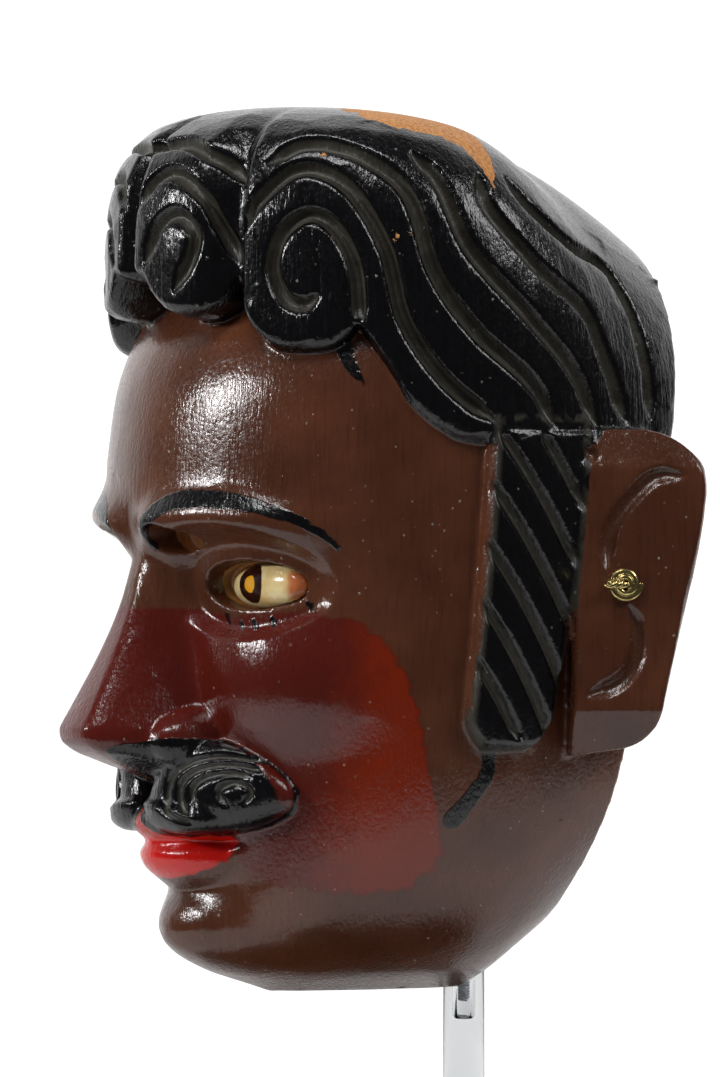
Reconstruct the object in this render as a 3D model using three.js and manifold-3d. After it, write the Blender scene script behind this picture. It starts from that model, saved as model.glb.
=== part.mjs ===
// A carved and painted wooden face mask on a clear rod stand.
//
// Millimetres, Z up. The face looks along -Y and the mask's own left side is +X.
// The origin is the centre of the underside of the stand's foot.
//
// The mask's shapes are worked out in its own frame: the stand's rod runs up the line
// x = 0, y = 0, and z = 0 is the underside of the chin. A point on the head is named by
// its plan angle round a vertical axis (0 degrees at the nose, positive to the mask's
// left) and its height.

import * as THREE from 'three';
import { mergeVertices } from 'three/addons/utils/BufferGeometryUtils.js';
import Module from 'manifold-3d';

const wasm = await Module();
wasm.setup();

// Driving sizes of the head
const MASK_HEIGHT = 230.5;
const AXIS_Y = -22;
const WALL = 11;
const HEAD_POWER = 1.9;
const RIM_Y_AT_CHIN = 8;
const RIM_LEAN = 0.12;
const CROWN_WALL = 13;
const HOLLOW_SHOULDER_Z = 130;
const HOLLOW_CLOSING = 90;
const HOLLOW_FLOOR_Z = 60;

// Half width of the head at the skin, from the chin up: height, half width
const HALF_WIDTHS = [
  [0, 10], [6, 27.5], [16, 41], [30, 51], [48, 58.5], [70, 64], [100, 68.5], [140, 71], [168, 69], [182, 58],
];
// Front of the skin on the centre line, without the nose, the lips and the brows: height, depth
const FRONT_DEPTHS = [
  [0, 36], [7, 52], [16, 60], [30, 62], [48, 64], [70, 66], [94, 68], [112, 72], [124, 77], [150, 75],
  [168, 69], [182, 58],
];
// How far the head would reach behind the axis; the jaw's underside rises towards the back
const BACK_DEPTHS = [
  [0, 21], [5, 26], [11, 32], [20, 43], [29, 53], [38, 66], [47, 82], [56, 96], [75, 110],
];
const SKIN_TOP = 186;

// The face, laid out on even thirds with the eyes near the middle of the head
const BROW_Z = 120;
const EYE_Z = 106;
const EYE_X = 31;
const EYE_LENGTH = 27;
const EYE_HEIGHT = 12.5;
const EYE_RECESS = 2.5;
const NOSE_BASE_Z = 60;
const NOSE_HEIGHT = 31;
const NOSE_TOP_Z = 114;
const MOUTH_Z = 40;
const MOUTH_HALF = 22;
const SLIT_X = 15;
const SLIT_Z = 118;
const SLIT_LENGTH = 14;
const SLIT_HEIGHT = 7;
const PLUG_FRONT_Y = -130;
const PLUG_BACK_Y = -40;

// The hair
const HAIR_HALF_WIDTH = 75.5;
const HAIR_FRONT = 79;
const HAIR_BACK = 110;
const HAIR_POWER = 1.75;
const HAIR_SHOULDER_Z = 150;
const CROWN_START = 0.7;
const CROWN_PEAK_Y = -55;
const CROWN_LAST_Y = 36;
const CROWN_FALL = 0.00305;
const CROWN_SIDE_FALL = 0.0014;
const VALLEY_ANGLE = 27;
const VALLEY_DEPTH = 6.5;
const CLEFT_DEPTH = 5;
const CURL_INNER = { lobe: [16, 10.5], bottom: 174 };
const CURL_OUTER = { lobe: [42.5, 13], bottom: 165.5 };
const CURL_END = 54.5;
const BACK_HAIRLINE = [[54.5, 171], [60, 162], [65, 152], [73.5, 144], [80, 142.5], [90, 142.5], [100, 142.5]];
const GROOVE_WIDTH = 4.4;
const GROOVE_DEPTH = 2.8;
const CUT_STEPS = 0.52;

// Sideburns, ears and moustache
const SIDEBURN_TOP = 145;
const SIDEBURN_BOTTOM = 64;
const SIDEBURN_WIDTH = 26;
const SIDEBURN_RAISE = 5;
const SIDEBURN_CUTS = 7;
const SIDEBURN_CUT_STEP = 15;
const EAR_ROOT = [70.5, -4];
const EAR_FLARE = 23;
const EAR_THICK = 16;
const EAR_FACE = 6.5;
const EAR_BEVEL = [1.6, 2];
const EAR_STUD = [9, 106.5];
const EAR_TOP_BAND = [136, 148, 5];
const EAR_FOOT_BAND = [74, 62, 7];
const KNOT_POST = 5;
const KNOT_PIN = 0.8;
const MOUSTACHE_RAISE = 8;
const MOUSTACHE_MIDDLE = [19.5, 52];
const MOUSTACHE_REACH = [18, 12];
const MOUSTACHE_UNDER_Z = 55;

// The stand
const ROD_DIAMETER = 11;
const ROD_LENGTH = 82;
const ROD_BACK = 30;
const FOOT_SIDE = 140;
const FOOT_THICK = 20;
const FOOT_HOLE = 12;
const FOOT_CHAMFER = 1;
const STUD_DIAMETER = 3.5;
const STUD_PITCH = 0.79;
const STUD_IN_ROD = 9.5;
const STUD_IN_MASK = 7;
const STUD_HOLE = 14;
const THREAD_DEPTH = 0.35;
const CLEAR = 0.3;
const OVERCUT = 5;
const ROUND = 24;
const ROD_SEAT_Z = 5.2;

const CHIN_Z = FOOT_THICK + CLEAR + ROD_LENGTH - ROD_SEAT_Z;
const DEG = Math.PI / 180;

// Curve through a short list of [position, value] pairs
function profile(pairs, at) {
  const last = pairs.length - 1;
  const x = Math.min(Math.max(at, pairs[0][0]), pairs[last][0]);
  let i = 0;
  while (i < last - 1 && x > pairs[i + 1][0]) i += 1;
  const slope = (k) => {
    const a = pairs[Math.max(k - 1, 0)];
    const b = pairs[Math.min(k + 1, last)];
    return (b[1] - a[1]) / (b[0] - a[0]);
  };
  const h = pairs[i + 1][0] - pairs[i][0];
  const t = (x - pairs[i][0]) / h;
  const t2 = t * t;
  const t3 = t2 * t;
  return (2 * t3 - 3 * t2 + 1) * pairs[i][1] + (t3 - 2 * t2 + t) * h * slope(i)
    + (3 * t2 - 2 * t3) * pairs[i + 1][1] + (t3 - t2) * h * slope(i + 1);
}

function ease(from, to, at) {
  return THREE.MathUtils.smoothstep((at - from) / (to - from), 0, 1);
}

// A soft hump: 1 at the centre, 0 one radius away
function hump(dx, dz, rx, rz) {
  const d2 = (dx / rx) ** 2 + (dz / rz) ** 2;
  return d2 < 1 ? (1 - d2) ** 2 : 0;
}

// Plan radius of an egg-shaped section, from its half width and its depths in front and behind
function planRadius(angle, halfWidth, front, back, power) {
  const s = Math.abs(Math.sin(angle));
  const c = Math.cos(angle);
  const depth = c > 0 ? front : back;
  return ((s / halfWidth) ** power + (Math.abs(c) / depth) ** power) ** (-1 / power);
}

function onAxis(angle, radius, z) {
  return new THREE.Vector3(radius * Math.sin(angle), AXIS_Y - radius * Math.cos(angle), z);
}

// Bare head without features
function headRadius(angle, z) {
  return planRadius(
    angle, profile(HALF_WIDTHS, z), profile(FRONT_DEPTHS, z), profile(BACK_DEPTHS, z), HEAD_POWER,
  );
}

// Plan angle of the bare head's point at a distance from the centre line
function angleOf(x, z) {
  let angle = 0;
  for (let pass = 0; pass < 8; pass += 1) angle = Math.asin(x / headRadius(angle, z));
  return angle;
}

// Height of the carved face above the bare head; x is the distance from the centre line
function faceRelief(x, z) {
  const side = Math.abs(x);
  // nose: a wedge that grows from the bridge to the tip, with a wing on each side
  const along = THREE.MathUtils.clamp((NOSE_TOP_Z - z) / (NOSE_TOP_Z - NOSE_BASE_Z - 6), 0, 1.12);
  const underside = ease(NOSE_BASE_Z - 2, NOSE_BASE_Z + 3, z);
  const ridge = 3 + 4 * along;
  const foot = 9 + 8 * along;
  const wedge = 1 - ease(ridge, foot, side);
  const fade = ease(NOSE_TOP_Z + 12, NOSE_TOP_Z - 6, z);
  let relief = (3 + (NOSE_HEIGHT - 3) * along ** 1.15) * wedge * underside * fade;
  relief = Math.max(relief, 15 * Math.sqrt(hump(side - 12, z - NOSE_BASE_Z - 7, 8.5, 9.5)) * underside);
  // brow arch, eye hollow and the lids round the eye
  const browZ = BROW_Z + 3.5 * Math.sin(Math.PI * THREE.MathUtils.clamp((side - 6) / 46, 0, 1));
  relief += 4 * Math.exp(-(((z - browZ) / 6) ** 2)) * ease(58, 40, side) * ease(0, 10, side);
  relief -= 8 * Math.sqrt(hump(side - EYE_X + 2, z - EYE_Z - 1, 23, 15)) * ease(8, 15, side);
  relief += 6.5 * Math.sqrt(hump(side - EYE_X, z - EYE_Z, 18, 11));
  // cheek, muzzle, lips and chin
  relief += 6 * hump(side - 37, z - 82, 26, 24);
  relief += 5 * hump(x, z - 47, 36, 22) * (1 - underside * wedge);
  const upper = hump(x, z - MOUTH_Z - 4.5, MOUTH_HALF + 2, 6.5);
  const lower = hump(x, z - MOUTH_Z + 5.5, MOUTH_HALF - 2, 8);
  relief += 6.5 * Math.sqrt(upper) + 7 * Math.sqrt(lower);
  relief -= 3 * Math.exp(-(((z - MOUTH_Z) / 1.6) ** 2)) * ease(MOUTH_HALF + 4, MOUTH_HALF - 4, side);
  relief += 7 * hump(x, z - 14, 27, 17);
  return relief;
}

function skinRadius(angle, z) {
  const bare = headRadius(angle, z);
  const x = bare * Math.sin(angle);
  const front = ease(0, 0.35, Math.cos(angle));
  return bare + faceRelief(x, z) * front;
}

// Hair: straight sides to the shoulder, then over a crown that is square in front and
// rounder behind, and falls away to the back
function crownTop(x, y) {
  const sideways = CROWN_SIDE_FALL * x ** 2 * (1 - ease(-35, 10, y));
  return MASK_HEIGHT - CROWN_FALL * (Math.min(y, CROWN_LAST_Y) - CROWN_PEAK_Y) ** 2 - sideways;
}

function crownPower(angle) {
  return 2.2 + 4.8 * (1 - ease(40, 120, Math.abs(angle) / DEG));
}

function hairWall(angle) {
  const degrees = Math.abs(angle) / DEG;
  const wall = planRadius(angle, HAIR_HALF_WIDTH, HAIR_FRONT, HAIR_BACK, HAIR_POWER);
  const cleft = CLEFT_DEPTH * (1 - ease(0, 3.5, degrees));
  const valley = VALLEY_DEPTH * (degrees < VALLEY_ANGLE
    ? ease(17, VALLEY_ANGLE, degrees)
    : 1 - ease(VALLEY_ANGLE, VALLEY_ANGLE + 4, degrees));
  return wall - cleft - valley;
}

function hairRadius(angle, z) {
  const wall = hairWall(angle);
  if (z <= HAIR_SHOULDER_Z) return wall;
  const power = crownPower(angle);
  let shrink = 1;
  for (let pass = 0; pass < 6; pass += 1) {
    const radius = wall * shrink;
    const top = crownTop(radius * Math.sin(angle), AXIS_Y - radius * Math.cos(angle));
    const rise = Math.min((z - HAIR_SHOULDER_Z) / (top - HAIR_SHOULDER_Z), 0.999);
    shrink = (1 - rise ** power) ** (1 / power);
  }
  return wall * shrink;
}

function hairline(angle) {
  const degrees = Math.abs(angle) / DEG;
  const lobe = (curl) => {
    const off = Math.min(Math.abs(degrees - curl.lobe[0]) / curl.lobe[1], 1);
    return curl.bottom + 9 * off ** 3;
  };
  if (degrees < VALLEY_ANGLE) return lobe(CURL_INNER);
  if (degrees < CURL_END) return lobe(CURL_OUTER);
  return profile(BACK_HAIRLINE, degrees);
}

// A closed solid from a three.js geometry; a shape mirrored to the other side is turned right side out
function solid(geometry) {
  geometry.deleteAttribute('normal');
  geometry.deleteAttribute('uv');
  const merged = mergeVertices(geometry, 1e-4);
  const vertProperties = new Float32Array(merged.attributes.position.array);
  const triVerts = new Uint32Array(merged.index.array);
  const made = new wasm.Manifold(new wasm.Mesh({ numProp: 3, vertProperties, triVerts }));
  if (made.volume() > 0) return made;
  const turned = triVerts.slice().reverse();
  return new wasm.Manifold(new wasm.Mesh({ numProp: 3, vertProperties, triVerts: turned }));
}

function mapped(geometry, place) {
  const position = geometry.attributes.position;
  const uv = geometry.attributes.uv;
  for (let i = 0; i < position.count; i += 1) {
    const from = new THREE.Vector3().fromBufferAttribute(position, i);
    const to = place(from, uv.getX(i), uv.getY(i));
    position.setXYZ(i, to.x, to.y, to.z);
  }
  return solid(geometry);
}

// A closed round form from its columns (plan angles) and its rows (named from the top)
function roundForm(columns, rowCount, place) {
  const ring = [...columns, columns[0] + 2 * Math.PI];
  const rows = rowCount - 1;
  return mapped(new THREE.SphereGeometry(1, columns.length, rows), (from, u, v) => {
    const row = Math.round((1 - v) * rows);
    const column = Math.round(u * columns.length - (row === 0 ? 0.5 / columns.length : 0));
    return place(ring[THREE.MathUtils.clamp(column, 0, columns.length)], row);
  });
}

function bothSides(angles) {
  const left = angles.filter((a) => a > 0);
  return [...left.map((a) => -a).reverse(), 0, ...left].map((a) => a * DEG);
}

// A gouge cut: a three-sided prism bent along a path of points with outward normals
function gouge(path, width, depth, ends = 0.45) {
  const steps = path.length - 1;
  const lift = depth * 0.75;
  return mapped(new THREE.CylinderGeometry(1, 1, 1, 3, steps), (from) => {
    const step = Math.round((0.5 - from.y) * steps);
    const here = path[step];
    const before = path[Math.max(step - 1, 0)].point;
    const after = path[Math.min(step + 1, steps)].point;
    const along = after.clone().sub(before).normalize();
    const across = here.normal.clone().cross(along).normalize();
    const size = step === 0 || step === steps ? ends : 1;
    const flare = 1 + lift / depth;
    const reach = Math.hypot(from.x, from.z) < 0.1 ? 0 : 1;
    const turn = Math.round(Math.atan2(from.x, from.z) / (120 * DEG));
    const sideways = reach * turn * 0.5 * width * flare * size;
    const outward = reach === 0 ? 0 : (turn === 0 ? -depth * size : lift);
    return here.point.clone().addScaledVector(across, sideways).addScaledVector(here.normal, outward);
  });
}

// Points and normals on a surface, from a curve through [degrees, height] pairs
function trace(pairs, steps, radiusAt, side = 1) {
  const curve = new THREE.CatmullRomCurve3(pairs.map(([a, z]) => new THREE.Vector3(a, z, 0)));
  const at = (degrees, z) => {
    const angle = side * degrees * DEG;
    return onAxis(angle, radiusAt(angle, z), z);
  };
  return curve.getPoints(steps).map(({ x, y }) => {
    const point = at(x, y);
    const up = at(x, y + 1).sub(at(x, y - 1));
    const round = at(x + side, y).sub(at(x - side, y));
    return { point, normal: round.cross(up).normalize() };
  });
}

// Pairs on an arc round a curl's eye; the radius in millimetres runs from one value to another
function arcRound(eye, radii, turns, count) {
  const perDegree = HAIR_FRONT * DEG;
  return Array.from({ length: count }, (_, i) => {
    const t = i / (count - 1);
    const angle = THREE.MathUtils.lerp(turns[0], turns[1], t) * DEG;
    const radius = THREE.MathUtils.lerp(radii[0], radii[1], t);
    return [eye[0] + (radius * Math.cos(angle)) / perDegree, eye[1] + radius * Math.sin(angle)];
  });
}

function unite(parts) {
  return parts.reduce((whole, part) => whole.add(part));
}

function makeHead() {
  const lines = [4, 8, 11.5, 15.5, 21, 27, 34, 42, 51, 62, 76, 92, 112, 150];
  const heights = [
    SKIN_TOP, 178, 152, 130, 123, 118, 112, 106, 99, 90, 80, 72, 66, 62.5, 60,
    57.5, 51, 46, 42.5, 40, 38, 34.5, 30, 25, 19, 11, 4, 0,
  ];
  return roundForm(bothSides(lines), heights.length + 1, (angle, row) => {
    if (row === 0) return onAxis(angle, 0, SKIN_TOP);
    if (row === heights.length) return onAxis(angle, 0, 0);
    const z = heights[row];
    return onAxis(angle, skinRadius(angle, z), z);
  });
}

function makeHair() {
  const lines = [3.5, 9, 15, 21, 26, 28.5, 34, 42.5, 50, 54.5, 60, 66, 74, 86, 104, 122, 150];
  const rounds = 5;
  const levels = 6;
  const brim = 4;
  const rows = 1 + rounds + levels + 4;
  return roundForm(bothSides(lines), rows, (angle, row) => {
    const low = hairline(angle);
    const wall = hairWall(angle);
    if (row === 0) return onAxis(angle, 0, crownTop(0, AXIS_Y));
    const power = crownPower(angle);
    const overCrown = (rise) => {
      const radius = wall * (1 - rise ** power) ** (1 / power);
      const top = crownTop(radius * Math.sin(angle), AXIS_Y - radius * Math.cos(angle));
      return onAxis(angle, radius, HAIR_SHOULDER_Z + (top - HAIR_SHOULDER_Z) * rise);
    };
    const startTurn = Math.asin(CROWN_START ** (power / 2));
    if (row <= rounds) {
      const turn = THREE.MathUtils.lerp(Math.PI / 2, startTurn, row / (rounds + 1));
      return overCrown(Math.sin(turn) ** (2 / power));
    }
    const level = row - rounds - 1;
    if (level < levels) {
      const z = THREE.MathUtils.lerp(overCrown(CROWN_START).z, low + brim, level / (levels - 1));
      return onAxis(angle, hairRadius(angle, z), z);
    }
    const skin = headRadius(angle, low);
    if (level === levels) {
      const undercut = THREE.MathUtils.lerp(hairRadius(angle, low), skin, 0.35);
      return onAxis(angle, undercut, low + 0.8);
    }
    if (level === levels + 1) return onAxis(angle, skin - 4, low);
    return onAxis(angle, 0, HAIR_SHOULDER_Z);
  });
}

// The long cuts of the hair, as curves of [degrees, height]: the inner curl, the outer curl, then the waves
const HAIR_CUTS = [
  [[2, 219.5], [12, 220], [22, 215], [27, 209.5]],
  [[3, 205], [7, 210.5], [12, 212], [19.5, 206.5], [26, 190]],
  [[6.5, 190], [9.5, 198], [14, 201], [18.5, 197], [18, 190], [14.5, 182]],
  [[54.5, 174], [53.5, 187], [49.5, 197], [44, 200.5], [38.5, 196], [36.5, 187.5], [39, 179.5], [45.5, 179]],
  [[28.5, 197], [35, 207], [42.5, 212.5], [52, 207.5], [59.5, 192.5], [63.5, 173.5], [71.5, 158.5], [81, 148.5]],
  [[34.5, 214], [41.5, 219], [53, 216.5], [64, 206.5], [69.5, 186], [78, 170.5], [90, 157], [94.5, 148]],
  [[66, 214], [71, 207.5], [77, 191.5], [88.5, 175.5], [99, 161.5], [105, 148]],
  [[80.5, 209.5], [85, 195], [99, 181.5], [107.5, 164.5], [112.5, 149]],
  [[88.5, 210.5], [104, 193.5], [117.5, 182.5], [119, 166], [119.5, 150]],
];

function makeSideburn(side) {
  const across = 3;
  const down = 6;
  const outline = (t) => {
    const half = (SIDEBURN_WIDTH / 2) * (1 - 0.12 * t) * Math.sqrt(1 - 0.75 * ease(0.86, 1.02, t) ** 2);
    const middle = -19 - 5.5 * t;
    return [middle - half, middle + half];
  };
  return mapped(new THREE.BoxGeometry(1, 1, 1, across, 1, down), (from) => {
    const t = 0.5 - from.z;
    const z = THREE.MathUtils.lerp(SIDEBURN_TOP, SIDEBURN_BOTTOM, t);
    const [front, back] = outline(t);
    const s = from.x + 0.5;
    const y = THREE.MathUtils.lerp(front, back, side > 0 ? s : 1 - s);
    const angle = Math.atan2(62, AXIS_Y - y);
    const edge = Math.min(1, 6 * Math.min(s, 1 - s) + 0.45);
    const raise = from.y < 0 ? SIDEBURN_RAISE * edge * (t > 0.99 ? 0.5 : 1) : -5;
    return onAxis(side * angle, headRadius(angle, z) + raise, z);
  });
}

function sideburnCuts(side) {
  const sideRadius = (angle, z) => headRadius(angle, z) + SIDEBURN_RAISE;
  return Array.from({ length: SIDEBURN_CUTS }, (_, k) => {
    const start = SIDEBURN_TOP + 34 - k * SIDEBURN_CUT_STEP;
    const pairs = [0, 0.2, 0.4, 0.6, 0.8, 1].map((t) => {
      const z = start - 44 * t ** 1.1;
      const down = (SIDEBURN_TOP - z) / (SIDEBURN_TOP - SIDEBURN_BOTTOM);
      const y = -33 - 5 * down + (SIDEBURN_WIDTH + 2) * t;
      return [Math.atan2(62, AXIS_Y - y) / DEG, z];
    }).filter((pair) => pair[1] < SIDEBURN_TOP + 4 && pair[1] > SIDEBURN_BOTTOM - 4);
    return gouge(trace(pairs, 2, sideRadius, side), 3.4, 2.2, 0.8);
  });
}

// Ears are thick slabs; their own frame has u backwards from the root and v upwards
function earPlace(side, u, v, out) {
  const flare = EAR_FLARE * DEG;
  const x = EAR_ROOT[0] + u * Math.sin(flare) + out * Math.cos(flare);
  const y = EAR_ROOT[1] + u * Math.cos(flare) - out * Math.sin(flare);
  return new THREE.Vector3(side * x, y, v);
}

function makeEar(side) {
  const outline = new THREE.Shape();
  outline.moveTo(-4, 62);
  outline.lineTo(10, 64);
  outline.quadraticCurveTo(17, 66, 19, 73);
  outline.lineTo(27, 108);
  outline.quadraticCurveTo(33, 134, 29, 138);
  outline.quadraticCurveTo(22, 146, 14, 146);
  outline.lineTo(-4, 146);
  const slab = new THREE.ExtrudeGeometry(outline, {
    depth: EAR_THICK, curveSegments: 2, bevelEnabled: true, bevelSegments: 1, bevelSize: EAR_BEVEL[0],
    bevelThickness: EAR_BEVEL[1], bevelOffset: -EAR_BEVEL[0],
  });
  const ear = mapped(slab, (from) => {
    const out = side > 0 ? from.z : EAR_THICK - from.z;
    return earPlace(side, from.x, from.y, out - EAR_THICK + EAR_FACE - EAR_BEVEL[1]);
  });
  return [EAR_TOP_BAND, EAR_FOOT_BAND].reduce((left, band) => left.subtract(makeEarBand(side, band)), ear);
}

// The wedge that comes off the ear's face along its top or its foot, from nothing at one height
// to its full depth at another
function makeEarBand(side, [start, end, deep]) {
  return mapped(new THREE.BoxGeometry(100, 1, 1), (from) => {
    const past = from.y < 0 ? 0 : 2;
    const out = from.z > 0 ? EAR_THICK : -past * deep;
    return earPlace(side, from.x, THREE.MathUtils.lerp(start, end, past), EAR_FACE + out);
  });
}

function earCuts(side) {
  const upper = [[24, 134], [17, 134], [9.5, 127], [5.4, 120], [4.6, 111]];
  const lower = [[10, 100.5], [12.6, 95], [11.8, 86.5], [7.4, 81], [0, 78]];
  const normal = earPlace(side, 0, 0, 1).sub(earPlace(side, 0, 0, 0));
  return [upper, lower].map((pairs) => {
    const curve = new THREE.CatmullRomCurve3(pairs.map(([u, v]) => new THREE.Vector3(u, v, 0)));
    const path = curve.getPoints(6).map((at) => ({ point: earPlace(side, at.x, at.y, EAR_FACE), normal }));
    return gouge(path, 3, 2);
  });
}

// The lip under the moustache, without the nose and its wings
function lipRadius(angle, z) {
  const x = headRadius(angle, z) * Math.sin(Math.abs(angle));
  return headRadius(angle, z) + Math.min(faceRelief(x, Math.min(z, MOUSTACHE_UNDER_Z)), 7);
}

function makeMoustache(side) {
  return mapped(new THREE.SphereGeometry(1, 12, 7), (from) => {
    // from.x runs outwards along the lip, from.y up, from.z off the face
    const x = MOUSTACHE_MIDDLE[0] + MOUSTACHE_REACH[0] * from.x;
    const droop = 2 - 4.5 * from.x ** 2 * (from.x > 0 ? 0.4 : 1);
    const z = MOUSTACHE_MIDDLE[1] + droop + MOUSTACHE_REACH[1] * from.y * (1 - 0.12 * from.x);
    const angle = angleOf(x, z);
    const raise = from.z > 0 ? MOUSTACHE_RAISE * from.z ** 0.6 : 5 * from.z;
    return onAxis(side * angle, lipRadius(angle, z) + raise, z);
  });
}

function moustacheRadius(angle, z) {
  const x = headRadius(angle, z) * Math.sin(Math.abs(angle));
  const off = ((x - MOUSTACHE_MIDDLE[0]) / MOUSTACHE_REACH[0]) ** 2
    + ((z - MOUSTACHE_MIDDLE[1] - 1) / MOUSTACHE_REACH[1]) ** 2;
  return lipRadius(angle, z) + MOUSTACHE_RAISE * Math.max(1 - off, 0.02) ** 0.3;
}

function moustacheCuts(side) {
  const strand = [[9, 60.5], [6.5, 54.5], [6.8, 48], [10, 42.5]];
  const strands = [0, 4.8].map((step) => strand.map(([degrees, z]) => [degrees + step, z]));
  const scroll = arcRound([24.5, 52], [5, 6.5], [190, -70], 6);
  return [...strands, scroll].map((pairs) => gouge(trace(pairs, 4, moustacheRadius, side), 2.6, 2.2, 0.6));
}

// The hollow behind the face; its ceiling follows the crown down to the back
function makeHollow() {
  const lines = [18, 36, 54, 72, 90, 110, 130, 155];
  const heights = [216, 210, 202, 190, 170, 150, 110, 75, 48, 30, 20, 14];
  const underCrown = (point) => {
    if (point.z <= HOLLOW_SHOULDER_Z) return point;
    const room = crownTop(point.x, point.y) - CROWN_WALL - HOLLOW_SHOULDER_Z;
    const share = (point.z - HOLLOW_SHOULDER_Z) / (heights[0] - HOLLOW_SHOULDER_Z);
    return point.setZ(HOLLOW_SHOULDER_Z + room * share);
  };
  return roundForm(bothSides(lines), heights.length + 2, (angle, row) => {
    if (row === 0) return underCrown(onAxis(angle, 0, heights[0]));
    if (row > heights.length) return onAxis(angle, 0, heights[heights.length - 1]);
    const z = heights[row - 1];
    const closing = Math.sqrt(1 - (Math.max(z - HOLLOW_SHOULDER_Z, 0) / HOLLOW_CLOSING) ** 4);
    const bare = headRadius(angle, Math.min(z, 168));
    const wall = WALL + Math.max(HOLLOW_FLOOR_Z - z, 0) * 0.12;
    return underCrown(onAxis(angle, (bare - wall) * closing, z));
  });
}

// Everything behind the leaning plane of the rim
function makeBehind() {
  return mapped(new THREE.BoxGeometry(260, 200, 280), (from) => {
    const z = from.z + 115;
    const front = RIM_Y_AT_CHIN + RIM_LEAN * z;
    return new THREE.Vector3(from.x, from.y < 0 ? front : front + 200, z);
  });
}

// A plug along Y with an almond or teardrop outline, right through the front wall of the face
function plugAlongY(points, x, z) {
  const outline = THREE.ShapeUtils.isClockWise(points) ? points.slice().reverse() : points;
  const geometry = new THREE.ExtrudeGeometry(new THREE.Shape(outline), {
    depth: PLUG_BACK_Y - PLUG_FRONT_Y, bevelEnabled: false,
  });
  return solid(geometry.rotateX(Math.PI / 2).translate(x, PLUG_BACK_Y, z));
}

function almond(length, height, side, count = 12) {
  return Array.from({ length: count }, (_, i) => {
    const turn = (i / count) * 2 * Math.PI;
    const x = (length / 2) * Math.cos(turn);
    const pinch = Math.abs(Math.sin(turn)) ** 0.85 * Math.sign(Math.sin(turn));
    return new THREE.Vector2(side * x, (height / 2) * pinch);
  });
}

function slitOutline(side) {
  const count = 10;
  return Array.from({ length: count }, (_, i) => {
    const turn = (i / count) * 2 * Math.PI;
    const x = (SLIT_LENGTH / 2) * Math.cos(turn);
    return new THREE.Vector2(side * x, (SLIT_HEIGHT / 2) * Math.sin(turn) * (1 - 0.35 * Math.cos(turn)));
  });
}

function makeMask() {
  const sides = [1, -1];
  const raised = [makeHead(), makeHair()];
  sides.forEach((side) => raised.push(makeSideburn(side), makeEar(side), makeMoustache(side)));
  const cuts = [];
  sides.forEach((side) => {
    HAIR_CUTS.forEach((pairs) => {
      const steps = Math.round(pairs.length * CUT_STEPS);
      cuts.push(gouge(trace(pairs, steps, hairRadius, side), GROOVE_WIDTH, GROOVE_DEPTH));
    });
    cuts.push(...sideburnCuts(side), ...earCuts(side), ...moustacheCuts(side), knotHole(side));
    cuts.push(plugAlongY(almond(EYE_LENGTH, EYE_HEIGHT, side), side * EYE_X, EYE_Z));
    cuts.push(plugAlongY(slitOutline(side), side * SLIT_X, SLIT_Z));
  });
  cuts.push(makeHollow(), makeBehind());
  cuts.push(pinAt(ROD_DIAMETER / 2 + CLEAR, ROD_SEAT_Z + OVERCUT, -OVERCUT, ROUND / 2));
  cuts.push(pinAt(STUD_DIAMETER / 2 + CLEAR, STUD_IN_MASK + CLEAR + 1, ROD_SEAT_Z - 1, ROUND / 3));
  return cuts.reduce((whole, cut) => whole.subtract(cut), unite(raised));
}

// An upright cylinder that starts at a height
function pinAt(radius, height, from, segments, y = 0) {
  const geometry = new THREE.CylinderGeometry(radius, radius, height, segments);
  return solid(geometry.rotateX(Math.PI / 2).translate(0, y, from + height / 2));
}

function toGeometry(made) {
  const mesh = made.getMesh();
  const geometry = new THREE.BufferGeometry();
  geometry.setAttribute('position', new THREE.BufferAttribute(new Float32Array(mesh.vertProperties), 3));
  geometry.setIndex(new THREE.BufferAttribute(new Uint32Array(mesh.triVerts), 1));
  geometry.computeVertexNormals();
  return geometry;
}

function named(name, geometry, material) {
  const mesh = new THREE.Mesh(geometry, material);
  mesh.name = name;
  return mesh;
}

// A painted wooden eye, set into the almond opening from behind; its domed front lies under the lids
function makeEye(side) {
  const outline = almond(EYE_LENGTH - 2 * CLEAR, EYE_HEIGHT - 2 * CLEAR, side);
  const lidAngle = angleOf(EYE_X, EYE_Z);
  const lidY = AXIS_Y - skinRadius(lidAngle, EYE_Z) * Math.cos(lidAngle);
  const rings = [[0, 0], [0.5, 0.6], [0.82, 1.9], [1, 4], [1, 9], [0, 9]];
  return mapped(new THREE.SphereGeometry(1, outline.length, rings.length - 1), (from, u, v) => {
    const [reach, back] = rings[Math.round((1 - v) * (rings.length - 1))];
    const here = outline[(Math.round(u * outline.length) + outline.length) % outline.length];
    const turned = (side * reach * here.x) / 60;
    return new THREE.Vector3(
      side * EYE_X + reach * here.x, lidY + EYE_RECESS + back + 9 * turned, EYE_Z + reach * here.y,
    );
  });
}

// A brass wire rosette with a beaded stub in front and a post behind, turned about its own axis
function knotSolid(side) {
  const outline = [
    [0, -KNOT_POST], [KNOT_PIN, -KNOT_POST], [KNOT_PIN, CLEAR], [3.9, CLEAR], [4.3, 1.3], [3.5, 2.4],
    [2.7, 2.1],
    [2, 3], [1.1, 3], [1.5, 3.9], [0.9, 4.7], [1.5, 5.6], [0.9, 6.5], [1.4, 7.3], [0, 8],
  ].map(([r, along]) => new THREE.Vector2(r, along));
  const geometry = new THREE.LatheGeometry(outline, 8);
  const axis = earPlace(side, 0, 0, 1).sub(earPlace(side, 0, 0, 0));
  const turn = new THREE.Quaternion().setFromUnitVectors(new THREE.Vector3(0, 1, 0), axis);
  const foot = earPlace(side, EAR_STUD[0], EAR_STUD[1], EAR_FACE);
  return solid(geometry.applyQuaternion(turn).translate(foot.x, foot.y, foot.z));
}

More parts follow.
